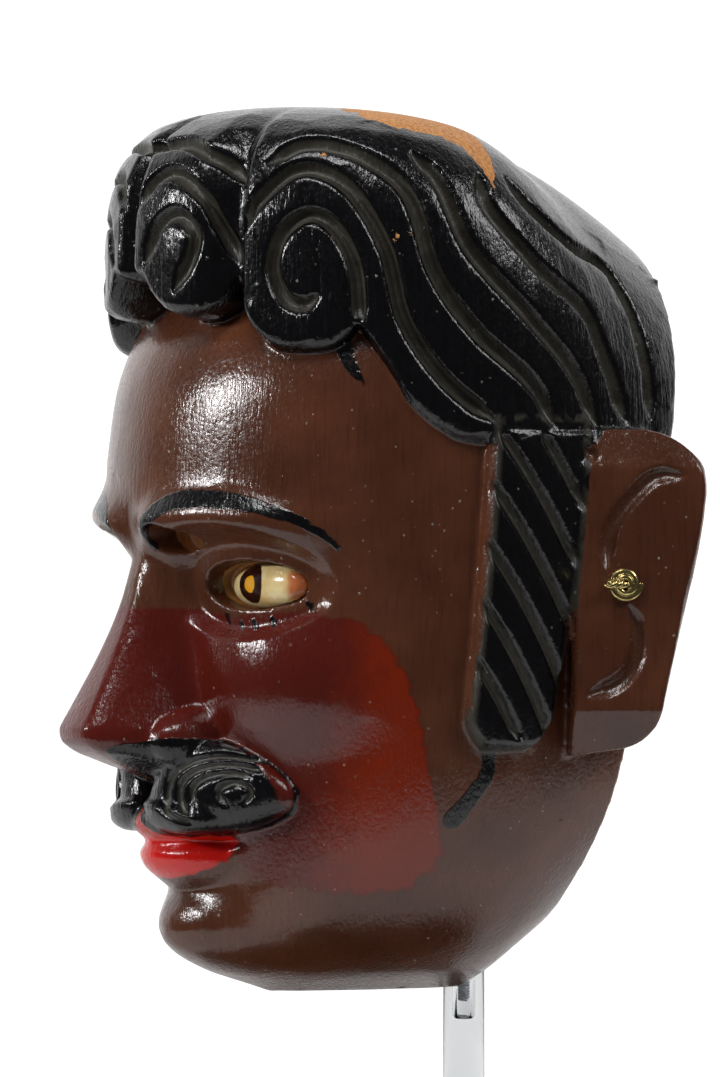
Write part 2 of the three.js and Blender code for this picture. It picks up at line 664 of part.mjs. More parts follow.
function knotHole(side) {
  const length = KNOT_POST + CLEAR + OVERCUT;
  const geometry = new THREE.CylinderGeometry(KNOT_PIN + CLEAR, KNOT_PIN + CLEAR, length, ROUND / 4);
  const axis = earPlace(side, 0, 0, 1).sub(earPlace(side, 0, 0, 0));
  const turn = new THREE.Quaternion().setFromUnitVectors(new THREE.Vector3(0, 1, 0), axis);
  const middle = earPlace(side, EAR_STUD[0], EAR_STUD[1], EAR_FACE - KNOT_POST - CLEAR + length / 2);
  return solid(geometry.applyQuaternion(turn).translate(middle.x, middle.y, middle.z));
}

// The steel stud that joins the rod to the mask, with rings for its thread
function makeThreadedStud() {
  const half = STUD_PITCH / 2;
  const turns = Math.floor((STUD_IN_ROD + STUD_IN_MASK) / STUD_PITCH);
  const root = STUD_DIAMETER / 2 - THREAD_DEPTH;
  const outline = [new THREE.Vector2(0, 0)];
  for (let i = 0; i < turns; i += 1) {
    outline.push(new THREE.Vector2(root, i * STUD_PITCH));
    outline.push(new THREE.Vector2(STUD_DIAMETER / 2, i * STUD_PITCH + half));
  }
  outline.push(new THREE.Vector2(root, turns * STUD_PITCH));
  outline.push(new THREE.Vector2(0, turns * STUD_PITCH));
  const geometry = new THREE.LatheGeometry(outline, ROUND / 4);
  return solid(geometry.rotateX(Math.PI / 2).translate(0, 0, ROD_SEAT_Z - STUD_IN_ROD));
}

// A clear round bar with a blind hole for the stud in its top
function makeRod() {
  const top = ROD_SEAT_Z - CLEAR;
  const rod = pinAt(ROD_DIAMETER / 2, ROD_LENGTH + FOOT_HOLE, top - ROD_LENGTH - FOOT_HOLE, ROUND);
  return rod.subtract(pinAt(STUD_DIAMETER / 2 + CLEAR, STUD_HOLE + OVERCUT, top - STUD_HOLE, ROUND / 2));
}

// A clear block with small chamfers and a blind hole for the rod
function makeFoot() {
  const outline = new THREE.Shape();
  const half = FOOT_SIDE / 2 - FOOT_CHAMFER;
  outline.moveTo(-half, -half);
  outline.lineTo(half, -half);
  outline.lineTo(half, half);
  outline.lineTo(-half, half);
  const block = new THREE.ExtrudeGeometry(outline, {
    depth: FOOT_THICK - 2 * FOOT_CHAMFER, bevelEnabled: true, bevelSegments: 1, bevelSize: FOOT_CHAMFER,
    bevelThickness: FOOT_CHAMFER,
  });
  const bottom = FOOT_THICK - FOOT_HOLE - CLEAR;
  const hole = pinAt(ROD_DIAMETER / 2 + CLEAR, FOOT_HOLE + CLEAR + OVERCUT, bottom, ROUND, ROD_BACK);
  return solid(block.translate(0, 0, FOOT_CHAMFER)).subtract(hole);
}

// The finishes: gloss enamel on wood, painted eyes, brass, steel and clear acrylic
const enamel = new THREE.MeshStandardMaterial({ color: '#3a1d12', roughness: 0.25, metalness: 0 });
const eyePaint = new THREE.MeshStandardMaterial({ color: '#e8d9a0', roughness: 0.3, metalness: 0 });
const brass = new THREE.MeshStandardMaterial({ color: '#b59a52', roughness: 0.3, metalness: 1 });
const steel = new THREE.MeshStandardMaterial({ color: '#a8abad', roughness: 0.35, metalness: 1 });
const acrylic = new THREE.MeshStandardMaterial({
  color: '#f4f7f8', roughness: 0.05, metalness: 0, transparent: true, opacity: 0.35,
});

const part = new THREE.Group();
part.add(named('stand_foot', toGeometry(makeFoot()), acrylic));

const upper = new THREE.Group();
upper.position.set(0, ROD_BACK, CHIN_Z);
upper.add(named('mask', toGeometry(makeMask()), enamel));
upper.add(named('eye_left', toGeometry(makeEye(1)), eyePaint));
upper.add(named('eye_right', toGeometry(makeEye(-1)), eyePaint));
upper.add(named('ear_stud_left', toGeometry(knotSolid(1)), brass));
upper.add(named('ear_stud_right', toGeometry(knotSolid(-1)), brass));
upper.add(named('threaded_stud', toGeometry(makeThreadedStud()), steel));
upper.add(named('stand_rod', toGeometry(makeRod()), acrylic));
part.add(upper);

export default part;
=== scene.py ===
# A carved and painted wooden face mask on a clear acrylic stand.
# Lengths are millimetres in the mask's own frame: the stand's rod runs up the line x = 0, y = 0, the underside of
# the chin is z = 0, the face looks along -Y and the mask's own left is +X. A point on the head is named by its plan
# angle round a vertical axis, 0 at the nose, and by its height. Finished meshes are in metres.
import math
import bpy
import numpy as np
from mathutils.kdtree import KDTree
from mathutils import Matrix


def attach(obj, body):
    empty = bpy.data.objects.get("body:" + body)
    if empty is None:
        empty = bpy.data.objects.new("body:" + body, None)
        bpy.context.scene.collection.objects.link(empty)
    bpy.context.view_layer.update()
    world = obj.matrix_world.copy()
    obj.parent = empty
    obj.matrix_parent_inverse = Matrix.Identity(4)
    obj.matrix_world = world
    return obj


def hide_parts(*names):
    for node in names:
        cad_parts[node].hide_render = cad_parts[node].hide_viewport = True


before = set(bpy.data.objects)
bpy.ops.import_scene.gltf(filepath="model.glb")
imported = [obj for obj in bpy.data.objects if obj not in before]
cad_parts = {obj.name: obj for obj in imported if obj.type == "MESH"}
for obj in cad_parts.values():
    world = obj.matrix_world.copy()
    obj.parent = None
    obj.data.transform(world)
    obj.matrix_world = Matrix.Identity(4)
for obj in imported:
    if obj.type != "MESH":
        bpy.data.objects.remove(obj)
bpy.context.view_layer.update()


# The head: one block of light softwood, carved to a face that is a radius about a vertical axis. The skin is the
# bare head with the brows, nose, cheeks, lips and chin raised on it, in calm, even thirds.
AXIS_Y, HEAD_POWER, SKIN_TOP = -22.0, 1.9, 186.0
HALF_WIDTHS = [[0, 10], [6, 27.5], [16, 41], [30, 51], [48, 58.5], [70, 64], [100, 68.5], [140, 71], [168, 69],
               [182, 58]]
FRONT_DEPTHS = [[0, 36], [7, 52], [16, 60], [30, 62], [48, 64], [70, 66], [94, 68], [112, 72], [124, 77], [150, 75],
                [168, 69], [182, 58]]
BACK_DEPTHS = [[0, 21], [5, 26], [11, 32], [20, 43], [29, 53], [38, 66], [47, 82], [56, 96], [75, 110]]
BROW_Z, EYE_Z, EYE_X = 120.0, 106.0, 31.0
NOSE_BASE_Z, NOSE_HEIGHT, NOSE_TOP_Z = 60.0, 29.0, 114.0
MOUTH_Z, MOUTH_HALF = 40.0, 22.0


def profile(pairs, at):
    x, value = np.array(pairs, float).T
    last = len(x) - 1
    before, after = np.maximum(np.arange(last + 1) - 1, 0), np.minimum(np.arange(last + 1) + 1, last)
    slope = (value[after] - value[before]) / (x[after] - x[before])
    at = np.clip(at, x[0], x[-1])
    i = np.clip(np.searchsorted(x, at) - 1, 0, last - 1)
    h = x[i + 1] - x[i]
    t = (at - x[i]) / h
    return ((2 * t**3 - 3 * t**2 + 1) * value[i] + (t**3 - 2 * t**2 + t) * h * slope[i]
            + (3 * t**2 - 2 * t**3) * value[i + 1] + (t**3 - t**2) * h * slope[i + 1])


def ease(start, end, at):
    t = np.clip((at - start) / (end - start), 0, 1)
    return t * t * (3 - 2 * t)


def hump(dx, dz, rx, rz):
    return np.maximum(1 - (dx / rx) ** 2 - (dz / rz) ** 2, 0) ** 2


def plan_radius(angle, half_width, front, back, power):
    s, c = np.abs(np.sin(angle)), np.cos(angle)
    depth = np.where(c > 0, front, back)
    return ((s / half_width) ** power + (np.abs(c) / depth) ** power) ** (-1 / power)


def head_radius(angle, z):
    return plan_radius(angle, profile(HALF_WIDTHS, z), profile(FRONT_DEPTHS, z), profile(BACK_DEPTHS, z), HEAD_POWER)


def brow_line(side):
    return BROW_Z + 3.5 * np.sin(np.pi * np.clip((side - 6) / 46, 0, 1))


def face_relief(x, z):
    side = np.abs(x)
    along = np.clip((NOSE_TOP_Z - z) / (NOSE_TOP_Z - NOSE_BASE_Z - 9), 0, 1)
    underside = np.sqrt(ease(NOSE_BASE_Z - 5, NOSE_BASE_Z + 7, z))
    ridge = 1 - ease(1.5 + 3 * along, 9.5 + 8 * along, side)
    relief = (3 + (NOSE_HEIGHT - 3) * along**1.1) * ridge * underside * ease(NOSE_TOP_Z + 12, NOSE_TOP_Z - 6, z)
    relief = np.maximum(relief, 15 * np.sqrt(hump(side - 12, z - NOSE_BASE_Z - 6, 9, 10)))
    relief = relief - 5 * hump(side - 6.5, z - NOSE_BASE_Z + 1, 4, 4.5)
    relief = relief + 4 * np.exp(-(((z - brow_line(side)) / 6) ** 2)) * ease(58, 40, side) * ease(0, 10, side)
    relief = relief - 8 * np.sqrt(hump(side - EYE_X + 2, z - EYE_Z - 1, 23, 15)) * ease(8, 15, side)
    relief = relief + 6.5 * np.sqrt(hump(side - EYE_X, z - EYE_Z, 18, 11))
    relief = relief + 6 * hump(side - 37, z - 82, 26, 24)
    relief = relief + 5 * hump(x, z - 47, 36, 22) * (1 - underside * ridge)
    relief = relief + 6.5 * np.sqrt(hump(x, z - MOUTH_Z - 4.5, MOUTH_HALF + 2, 6.5))
    relief = relief + 7 * np.sqrt(hump(x, z - MOUTH_Z + 5.5, MOUTH_HALF - 2, 8))
    relief = relief - 3 * np.exp(-(((z - MOUTH_Z) / 1.6) ** 2)) * ease(MOUTH_HALF + 4, MOUTH_HALF - 4, side)
    return relief + 7 * hump(x, z - 14, 27, 17)


def skin_radius(angle, z):
    bare = head_radius(angle, z)
    return bare + face_relief(bare * np.sin(angle), z) * ease(0, 0.35, np.cos(angle))


def on_axis(angle, radius, z):
    return np.stack(np.broadcast_arrays(radius * np.sin(angle), AXIS_Y - radius * np.cos(angle), z), -1)


# A closed form from a grid of points: each row wraps round, and the first and last are drawn to their middle
def closed_grid(name, grid):
    rows, columns, _ = grid.shape
    points = np.vstack([grid.reshape(-1, 3), grid[0].mean(0), grid[-1].mean(0)])
    across = np.roll(np.arange(columns), -1)
    faces = []
    for r in range(rows - 1):
        a, b = r * columns + np.arange(columns), r * columns + across
        faces += np.stack([a, b, b + columns, a + columns], 1).tolist()
    n = rows * columns
    faces += [[n, int(across[c]), c] for c in range(columns)]
    faces += [[n + 1, n - columns + c, n - columns + int(across[c])] for c in range(columns)]
    mesh = bpy.data.meshes.new(name)
    mesh.from_pydata(points.tolist(), [], faces)
    piece = bpy.data.objects.new(name, mesh)
    bpy.context.scene.collection.objects.link(piece)
    mesh.calc_loop_triangles()
    corners = points[[triangle.vertices[:] for triangle in mesh.loop_triangles]]
    if np.einsum("ij,ij->i", corners[:, 0], np.cross(corners[:, 1], corners[:, 2])).sum() < 0:
        mesh.flip_normals()
    return piece


turn = np.radians(np.concatenate([np.arange(-100, 100, 0.7), np.arange(100, 260, 4.0)]))
head_z = np.linspace(SKIN_TOP, 0, 240)[:, None]
mask = closed_grid("mask_wood", on_axis(turn[None], skin_radius(turn[None], head_z), head_z))


# The hair: a cap of the same block that stands proud of the brow, parted by a cleft at the middle and by a valley
# between the two curls of each side, with a rounded brim along the hairline and a crown that falls to the back.
MASK_HEIGHT, CROWN_START, CROWN_PEAK_Y, CROWN_LAST_Y = 230.5, 0.7, -55.0, 36.0
CROWN_FALL, CROWN_SIDE_FALL = 0.00305, 0.0014
HAIR_HALF_WIDTH, HAIR_FRONT, HAIR_BACK, HAIR_POWER, HAIR_SHOULDER_Z, HAIR_BRIM = 75.5, 79.0, 110.0, 1.75, 150.0, 5.0
VALLEY_ANGLE, VALLEY_DEPTH, CLEFT_DEPTH, CURL_END = 27.0, 6.5, 5.0, 54.5
INNER_LOBE, OUTER_LOBE = (16.0, 10.5, 174.0), (42.5, 13.0, 165.5)
BACK_HAIRLINE = [[54.5, 171], [60, 162], [65, 152], [73.5, 144], [80, 142.5], [90, 142.5], [100, 142.5]]


def crown_top(x, y):
    sideways = CROWN_SIDE_FALL * x**2 * (1 - ease(-35, 10, y))
    return MASK_HEIGHT - CROWN_FALL * (np.minimum(y, CROWN_LAST_Y) - CROWN_PEAK_Y) ** 2 - sideways


def crown_power(angle):
    return 2.2 + 4.8 * (1 - ease(40, 120, np.degrees(np.abs(angle))))


def hair_wall(angle):
    degrees = np.degrees(np.abs(angle))
    wall = plan_radius(angle, HAIR_HALF_WIDTH, HAIR_FRONT, HAIR_BACK, HAIR_POWER)
    valley = np.where(degrees < VALLEY_ANGLE, ease(17, VALLEY_ANGLE, degrees),
                      1 - ease(VALLEY_ANGLE, VALLEY_ANGLE + 4, degrees))
    return wall - CLEFT_DEPTH * (1 - ease(0, 3.5, degrees)) - VALLEY_DEPTH * valley


def hair_radius(angle, z):
    wall, power = hair_wall(angle), crown_power(angle)
    shrink = np.ones_like(wall * z)
    for _ in range(6):
        top = crown_top(wall * shrink * np.sin(angle), AXIS_Y - wall * shrink * np.cos(angle))
        rise = np.clip((z - HAIR_SHOULDER_Z) / (top - HAIR_SHOULDER_Z), 0, 0.999)
        shrink = (1 - rise**power) ** (1 / power)
    return wall * shrink


def hairline(angle):
    degrees = np.degrees(np.abs(angle))
    inner, outer = (bottom + 9 * np.minimum(np.abs(degrees - middle) / half, 1) ** 3
                    for middle, half, bottom in (INNER_LOBE, OUTER_LOBE))
    back = profile(BACK_HAIRLINE, degrees)
    return np.where(degrees < VALLEY_ANGLE, inner, np.where(degrees < CURL_END, outer, back))


def baked(piece):
    finished = bpy.data.meshes.new_from_object(piece.evaluated_get(bpy.context.evaluated_depsgraph_get()))
    old = piece.data
    piece.modifiers.clear()
    piece.data = finished
    bpy.data.meshes.remove(old)
    finished.name = piece.name


def joined(base, tool, operation):
    modifier = base.modifiers.new("join", "BOOLEAN")
    modifier.object, modifier.operation, modifier.solver = tool, operation, "MANIFOLD"
    baked(base)
    bpy.data.objects.remove(tool)


low, wall, power = hairline(turn), hair_wall(turn), crown_power(turn)
hair_rows = []
for step in np.linspace(0.02, 1, 30):
    start = np.arcsin(CROWN_START ** (power / 2))
    rise = np.sin(np.pi / 2 + (start - np.pi / 2) * step) ** (2 / power)
    radius = wall * (1 - rise**power) ** (1 / power)
    crown = crown_top(radius * np.sin(turn), AXIS_Y - radius * np.cos(turn))
    hair_rows.append(on_axis(turn, radius, HAIR_SHOULDER_Z + (crown - HAIR_SHOULDER_Z) * rise))
shoulder = hair_rows[-1][:, 2]
for step in np.linspace(0.02, 1, 70):
    z = shoulder + (low + HAIR_BRIM - shoulder) * step
    hair_rows.append(on_axis(turn, hair_radius(turn, z), z))
for step in np.radians(np.arange(12, 91, 13)):
    skin = head_radius(turn, low)
    radius = skin + (hair_radius(turn, low + HAIR_BRIM) - skin) * np.cos(step)
    hair_rows.append(on_axis(turn, radius, low + HAIR_BRIM * (1 - np.sin(step))))
hair_rows.append(on_axis(turn, head_radius(turn, low) - 4, low))
hair_rows.append(on_axis(turn, 6.0, np.full_like(turn, HAIR_SHOULDER_Z)))
joined(mask, closed_grid("hair", np.array(hair_rows)), "UNION")


# The sideburns and the ears: flat raised straps down from the hair, and board-like ears left standing out behind
# them, each a slab whose top and foot are pared back.
SIDEBURN_TOP, SIDEBURN_BOTTOM, SIDEBURN_WIDTH, SIDEBURN_RAISE = 145.0, 64.0, 26.0, 5.0
EAR_ROOT, EAR_FLARE, EAR_THICK, EAR_FACE, EAR_BEVEL = (70.5, -4.0), math.radians(23), 16.0, 6.5, (1.6, 2.0)
EAR_TOP_BAND, EAR_FOOT_BAND = (136.0, 148.0, 5.0), (74.0, 62.0, 7.0)
SIDEBURN_Y, SIDEBURN_LEAN, SIDE_X = -19, 5.5, 62


def slab(name, outer, inner):
    return closed_grid(name, np.array([np.concatenate([o, i[::-1]]) for o, i in zip(outer, inner)]))


def sideburn_half(down):
    return SIDEBURN_WIDTH / 2 * (1 - 0.12 * down) * np.sqrt(1 - 0.75 * ease(0.86, 1.02, down) ** 2)


def sideburn_point(side, s, t, raised):
    y = SIDEBURN_Y - SIDEBURN_LEAN * t + sideburn_half(t) * (2 * s - 1)
    z = SIDEBURN_TOP + (SIDEBURN_BOTTOM - SIDEBURN_TOP) * t
    angle = np.arctan2(SIDE_X, AXIS_Y - y)
    return on_axis(side * angle, head_radius(angle, z) + raised, z)


def ear_place(side, u, v, out):
    x = EAR_ROOT[0] + u * math.sin(EAR_FLARE) + out * math.cos(EAR_FLARE)
    y = EAR_ROOT[1] + u * math.cos(EAR_FLARE) - out * math.sin(EAR_FLARE)
    return np.stack(np.broadcast_arrays(side * x, y, v), -1)


def bend(start, pull, end, count=6):
    t = np.linspace(0, 1, count + 1)[1:, None]
    start, pull, end = (np.array(p, float) for p in (start, pull, end))
    return (1 - t) ** 2 * start + 2 * t * (1 - t) * pull + t**2 * end


ear_outline = np.vstack([[[-4, 62], [10, 64]], bend((10, 64), (17, 66), (19, 73)), [[23, 91]], [[27, 108]],
                         bend((27, 108), (33, 134), (29, 138)), bend((29, 138), (22, 146), (14, 146)), [[-4, 146]]])
ear_middle = ear_outline.mean(0)
ear_spokes = ear_outline - ear_middle
ear_inset = ear_middle + ear_spokes * (1 - EAR_BEVEL[0] / np.linalg.norm(ear_spokes, axis=1, keepdims=True))
for side in (1, -1):
    s, t = np.meshgrid(np.linspace(0, 1, 34), np.linspace(0, 1, 90))
    rim = np.minimum(np.minimum(s, 1 - s) * SIDEBURN_WIDTH, (1 - t) * (SIDEBURN_TOP - SIDEBURN_BOTTOM))
    raised = SIDEBURN_RAISE * np.sqrt(np.clip(rim / 2.2 + 0.2, 0, 1))
    joined(mask, slab("sideburn", sideburn_point(side, s, t, raised), sideburn_point(side, s, t, -5.0)), "UNION")
    back = EAR_FACE - EAR_THICK
    rows = [ear_place(side, loop[:, 0], loop[:, 1], np.full(len(loop), out)) for loop, out in (
        (ear_inset, back), (ear_outline, back + EAR_BEVEL[1]), (ear_outline, EAR_FACE - EAR_BEVEL[1]),
        (ear_inset, EAR_FACE))]
    ear = closed_grid("ear", np.array(rows))
    for start, end, deep in (EAR_TOP_BAND, EAR_FOOT_BAND):
        wedge = [[ear_place(side, u, start + (end - start) * past, EAR_FACE + out) for u, past, out in
                  ((where, 0, 0), (where, 2, -2 * deep), (where, 2, EAR_THICK), (where, 0, EAR_THICK))]
                 for where in (-50, 50)]
        joined(ear, closed_grid("band", np.array(wedge)), "DIFFERENCE")
    joined(mask, ear, "UNION")


# The moustache: two fat curls of the same block that lie on the upper lip and droop to their outer ends.
MOUSTACHE_RAISE, MOUSTACHE_MIDDLE, MOUSTACHE_REACH, MOUSTACHE_UNDER_Z = 8.0, (19.5, 52.0), (18.0, 12.0), 55.0


def angle_of(x, z):
    angle = np.zeros_like(x * z)
    for _ in range(8):
        angle = np.arcsin(np.clip(x / head_radius(angle, z), -1, 1))
    return angle


def lip_radius(angle, z):
    bare = head_radius(angle, z)
    x = bare * np.sin(np.abs(angle))
    return bare + np.minimum(face_relief(x, np.minimum(z, MOUSTACHE_UNDER_Z)), 7)


def moustache_droop(along):
    return 2 - 4.5 * along**2 * np.where(along > 0, 0.4, 1)


lift, round_ = np.meshgrid(np.radians(np.linspace(-87, 87, 40)), np.radians(np.arange(0, 360, 6)), indexing="ij")
fx, fy, fz = np.cos(lift) * np.cos(round_), np.cos(lift) * np.sin(round_), np.sin(lift)
x = MOUSTACHE_MIDDLE[0] + MOUSTACHE_REACH[0] * fx
z = MOUSTACHE_MIDDLE[1] + moustache_droop(fx) + MOUSTACHE_REACH[1] * fy * (1 - 0.12 * fx)
angle = angle_of(x, z)
raised = np.where(fz > 0, MOUSTACHE_RAISE * np.abs(fz) ** 0.6, 5 * fz)
for side in (1, -1):
    joined(mask, closed_grid("moustache", on_axis(side * angle, lip_radius(angle, z) + raised, z)), "UNION")


# The hollow and the openings: the back is scooped out to a wall of about 11 mm and sawn flat at the rim. The eyes,
# the wearer's slits, the holes for the ear studs and the seat of the stand's rod are cut through or into it.
ROD_BACK, CHIN_Z, CLEAR = 30.0, 97.1, 0.3
WALL, RIM_Y_AT_CHIN, RIM_LEAN, CROWN_WALL = 11.0, 8.0, 0.12, 13.0
HOLLOW_SHOULDER_Z, HOLLOW_CLOSING, HOLLOW_FLOOR_Z, HOLLOW_NARROWS = 130.0, 90.0, 60.0, 0.12
HAIR_JOIN_Z = 168.0
EYE_LENGTH, EYE_HEIGHT, SLIT_X, SLIT_Z, SLIT_LENGTH, SLIT_HEIGHT = 27.0, 12.5, 15.0, 118.0, 14.0, 7.0
THROUGH_FRONT, EAR_STUD, STUD_HOLE_RADIUS = (-130, -40), (9.0, 106.5), 1.1
ROD_DIAMETER, ROD_SEAT_Z, THREAD_DIAMETER, THREAD_IN_MASK = 11.0, 5.2, 3.5, 7.0


def rim_y(z):
    return RIM_Y_AT_CHIN + RIM_LEAN * z


def hollow_radius(angle, z):
    closing = np.sqrt(1 - (np.maximum(z - HOLLOW_SHOULDER_Z, 0) / HOLLOW_CLOSING) ** 4)
    narrowing = np.maximum(HOLLOW_FLOOR_Z - z, 0) * HOLLOW_NARROWS
    return (head_radius(angle, np.minimum(z, HAIR_JOIN_Z)) - WALL - narrowing) * closing


def almond(length, height, count):
    around = np.arange(count) / count * 2 * np.pi
    return length / 2 * np.cos(around), height / 2 * np.abs(np.sin(around)) ** 0.85 * np.sign(np.sin(around))


def prism(name, x, z, ys):
    return closed_grid(name, np.array([np.stack([x, np.full_like(x, y), z], 1) for y in ys]))


def pin(name, radius, bottom, top, place=lambda rows: rows):
    around = np.arange(48) / 48 * 2 * np.pi
    ring = np.stack([radius * np.cos(around), radius * np.sin(around), 0 * around], 1)
    return closed_grid(name, place(np.array([ring + [0, 0, h] for h in (bottom, top)])))


# Places points of an ear stud's own frame, whose third axis stands out of the ear, on the mask
def on_ear(side, points):
    axis = ear_place(side, 0, 0, 1) - ear_place(side, 0, 0, 0)
    across = np.cross([0, 0, 1.0], axis)
    foot = ear_place(side, EAR_STUD[0], EAR_STUD[1], EAR_FACE)
    return foot + points[..., :1] * across + points[..., 1:2] * np.cross(axis, across) + points[..., 2:] * axis


hollow_z = np.concatenate([[216, 215, 213], np.arange(210, 14, -4.0), [14]])[:, None]
hollow = on_axis(turn[None], hollow_radius(turn[None], hollow_z), hollow_z)
share = np.maximum(hollow[..., 2] - HOLLOW_SHOULDER_Z, 0) / (hollow_z[0] - HOLLOW_SHOULDER_Z)
room = crown_top(hollow[..., 0], hollow[..., 1]) - CROWN_WALL - HOLLOW_SHOULDER_Z
hollow[..., 2] = np.where(share > 0, HOLLOW_SHOULDER_Z + room * share, hollow[..., 2])
joined(mask, closed_grid("hollow", hollow), "DIFFERENCE")
behind = [[[-130, rim_y(z), z], [130, rim_y(z), z], [130, rim_y(z) + 200, z], [-130, rim_y(z) + 200, z]]
          for z in (-25, 255)]
joined(mask, closed_grid("behind", np.array(behind, float)), "DIFFERENCE")
for side in (1, -1):
    x, z = almond(EYE_LENGTH, EYE_HEIGHT, 72)
    joined(mask, prism("eye_cut", side * (EYE_X + x), EYE_Z + z, THROUGH_FRONT), "DIFFERENCE")
    around = np.arange(40) / 40 * 2 * np.pi
    x, z = SLIT_LENGTH / 2 * np.cos(around), SLIT_HEIGHT / 2 * np.sin(around) * (1 - 0.35 * np.cos(around))
    joined(mask, prism("slit", side * (SLIT_X + x), SLIT_Z + z, THROUGH_FRONT), "DIFFERENCE")
    joined(mask, pin("stud_hole", STUD_HOLE_RADIUS, -5.3, 3, lambda rows: on_ear(side, rows)), "DIFFERENCE")
joined(mask, pin("rod_seat", ROD_DIAMETER / 2 + CLEAR, -15, ROD_SEAT_Z), "DIFFERENCE")
joined(mask, pin("thread_seat", THREAD_DIAMETER / 2 + CLEAR, 0, ROD_SEAT_Z + THREAD_IN_MASK + CLEAR), "DIFFERENCE")


# The tool marks: the whole outside is pared with a knife to small flat planes, and the locks, the sideburns, the
# ears and the moustache are drawn with gouge cuts of an even width that end in a point.
VOXEL, MASK_TRIANGLES = 0.66, 190000
HAIR_CUTS = [
    [[-2, 218.5], [4, 219.5], [12, 220], [22, 215], [27, 209.5]],
    [[3, 204], [7, 210.5], [12, 212], [19.5, 206.5], [23, 198.5], [26.5, 189]],
    [[6.5, 189], [9.5, 198], [14, 201], [18.5, 197], [18, 190], [14.5, 182]],
    [[54.5, 172], [53.5, 187], [49.5, 197], [44, 200.5], [38.5, 196], [36.5, 187.5], [39, 179.5], [43, 177.5],
     [46, 180]],
    [[28, 195.5], [35, 207], [42.5, 212.5], [52, 207.5], [59.5, 192.5], [63.5, 173.5], [71.5, 158.5], [81, 148.5]],
    [[34.5, 214], [41.5, 219], [53, 216.5], [64, 206.5], [69.5, 186], [78, 170.5], [90, 157], [94.5, 147]],
    [[65.5, 216.5], [71, 209], [77, 191.5], [88.5, 175.5], [99, 161.5], [105, 147]],
    [[80.5, 211], [82, 202], [92, 187.5], [103, 177], [107.5, 164.5], [112.5, 148]],
    [[88.5, 210.5], [93.5, 202.5], [104, 193.5], [114.5, 188.5], [118, 180], [119, 166], [119.5, 149]],
]
HAIR_CUT, SIDEBURN_CUT, EAR_CUT, MOUSTACHE_CUT = (4.6, 3.0), (3.4, 2.2), (5.0, 2.0), (2.2, 1.7)
SIDEBURN_CUTS, SIDEBURN_CUT_STEP = 7, 15.0
PLANE_GAP, SKIN_SHARE, HAIR_SHARE, PLANE_MOST = 10.0, 0.35, 0.95, 0.75
SAMPLE = 0.5


# Even samples along a smooth curve through points
def smooth_line(points, gap=SAMPLE):
    points = np.asarray(points, float)
    ends = np.vstack([2 * points[0] - points[1], points, 2 * points[-1] - points[-2]])
    t = np.linspace(0, 1, 13)[:-1, None]
    lines = []
    for a, b, c, d in zip(ends, ends[1:], ends[2:], ends[3:]):
        lines.append(0.5 * (2 * b + (c - a) * t + (2 * a - 5 * b + 4 * c - d) * t**2
                            + (3 * b - a - 3 * c + d) * t**3))
    line = np.vstack(lines + [points[-1:]])
    length = np.concatenate([[0], np.cumsum(np.linalg.norm(np.diff(line, axis=0), axis=1))])
    even = np.linspace(0, length[-1], max(int(length[-1] / gap), 2))
    return np.stack([np.interp(even, length, line[:, k]) for k in range(line.shape[1])], 1)


def on_surface(pairs, radius_at, side):
    fine = smooth_line(pairs, 0.25)
    angle = np.radians(fine[:, 0])
    return smooth_line(on_axis(side * angle, radius_at(np.abs(angle), fine[:, 1]), fine[:, 1])[::2])


def sideburn_radius(angle, z):
    return head_radius(angle, z) + SIDEBURN_RAISE


def moustache_radius(angle, z):
    x = head_radius(angle, z) * np.sin(np.abs(angle))
    across, up = (x - MOUSTACHE_MIDDLE[0]) / MOUSTACHE_REACH[0], (z - MOUSTACHE_MIDDLE[1] - 1) / MOUSTACHE_REACH[1]
    return lip_radius(angle, z) + MOUSTACHE_RAISE * np.maximum(1 - (across**2 + up**2), 0.02) ** 0.3


cut_points, cut_sizes = [], []


def cut(points, size, taper=6.0):
    length = np.arange(len(points)) * SAMPLE
    scale = np.clip(0.25 + np.minimum(length, length[::-1]) / taper, 0, 1) ** 0.7
    cut_points.append(points)
    cut_sizes.append(np.stack([size[0] / 2 * scale, size[1] * scale], 1))


def near_finder(spots):
    finder = KDTree(len(spots))
    for i, spot in enumerate(spots):
        finder.insert(spot, i)
    finder.balance()
    return finder


for side in (1, -1):
    for pairs in HAIR_CUTS:
        cut(on_surface(pairs, hair_radius, side), HAIR_CUT)
    for k in range(SIDEBURN_CUTS):
        t = np.linspace(0, 1, 12)
        z = SIDEBURN_TOP + 34 - k * SIDEBURN_CUT_STEP - 44 * t**1.1
        y = -33 - 5 * (SIDEBURN_TOP - z) / (SIDEBURN_TOP - SIDEBURN_BOTTOM) + (SIDEBURN_WIDTH + 2) * t
        keep = (z < SIDEBURN_TOP + 1) & (z > SIDEBURN_BOTTOM)
        pairs = np.stack([np.degrees(np.arctan2(SIDE_X, AXIS_Y - y)), z], 1)[keep]
        cut(on_surface(pairs, sideburn_radius, side), SIDEBURN_CUT, 4)
    for pairs in ([[24, 134], [17, 134], [9.5, 127], [5.4, 120], [4.6, 111]],
                  [[10, 100.5], [12.6, 95], [11.8, 86.5], [7.4, 81], [0, 78]]):
        fine = smooth_line(pairs)
        cut(ear_place(side, fine[:, 0], fine[:, 1], EAR_FACE), EAR_CUT)
    for reach in (0, 3.2, 6.4):
        around = np.radians(np.linspace(55, 215 + 4 * reach, 9))
        pairs = np.stack([25 + (8.5 + reach) * np.cos(around), 52.5 + (5.2 + 0.72 * reach) * np.sin(around)], 1)
        cut(on_surface(pairs, moustache_radius, side), MOUSTACHE_CUT, 3)
    eye_of_curl = [[27.5, 50], [29.5, 53], [26.5, 55.4], [22.5, 53], [24.5, 49]]
    cut(on_surface(eye_of_curl, moustache_radius, side), MOUSTACHE_CUT, 3)


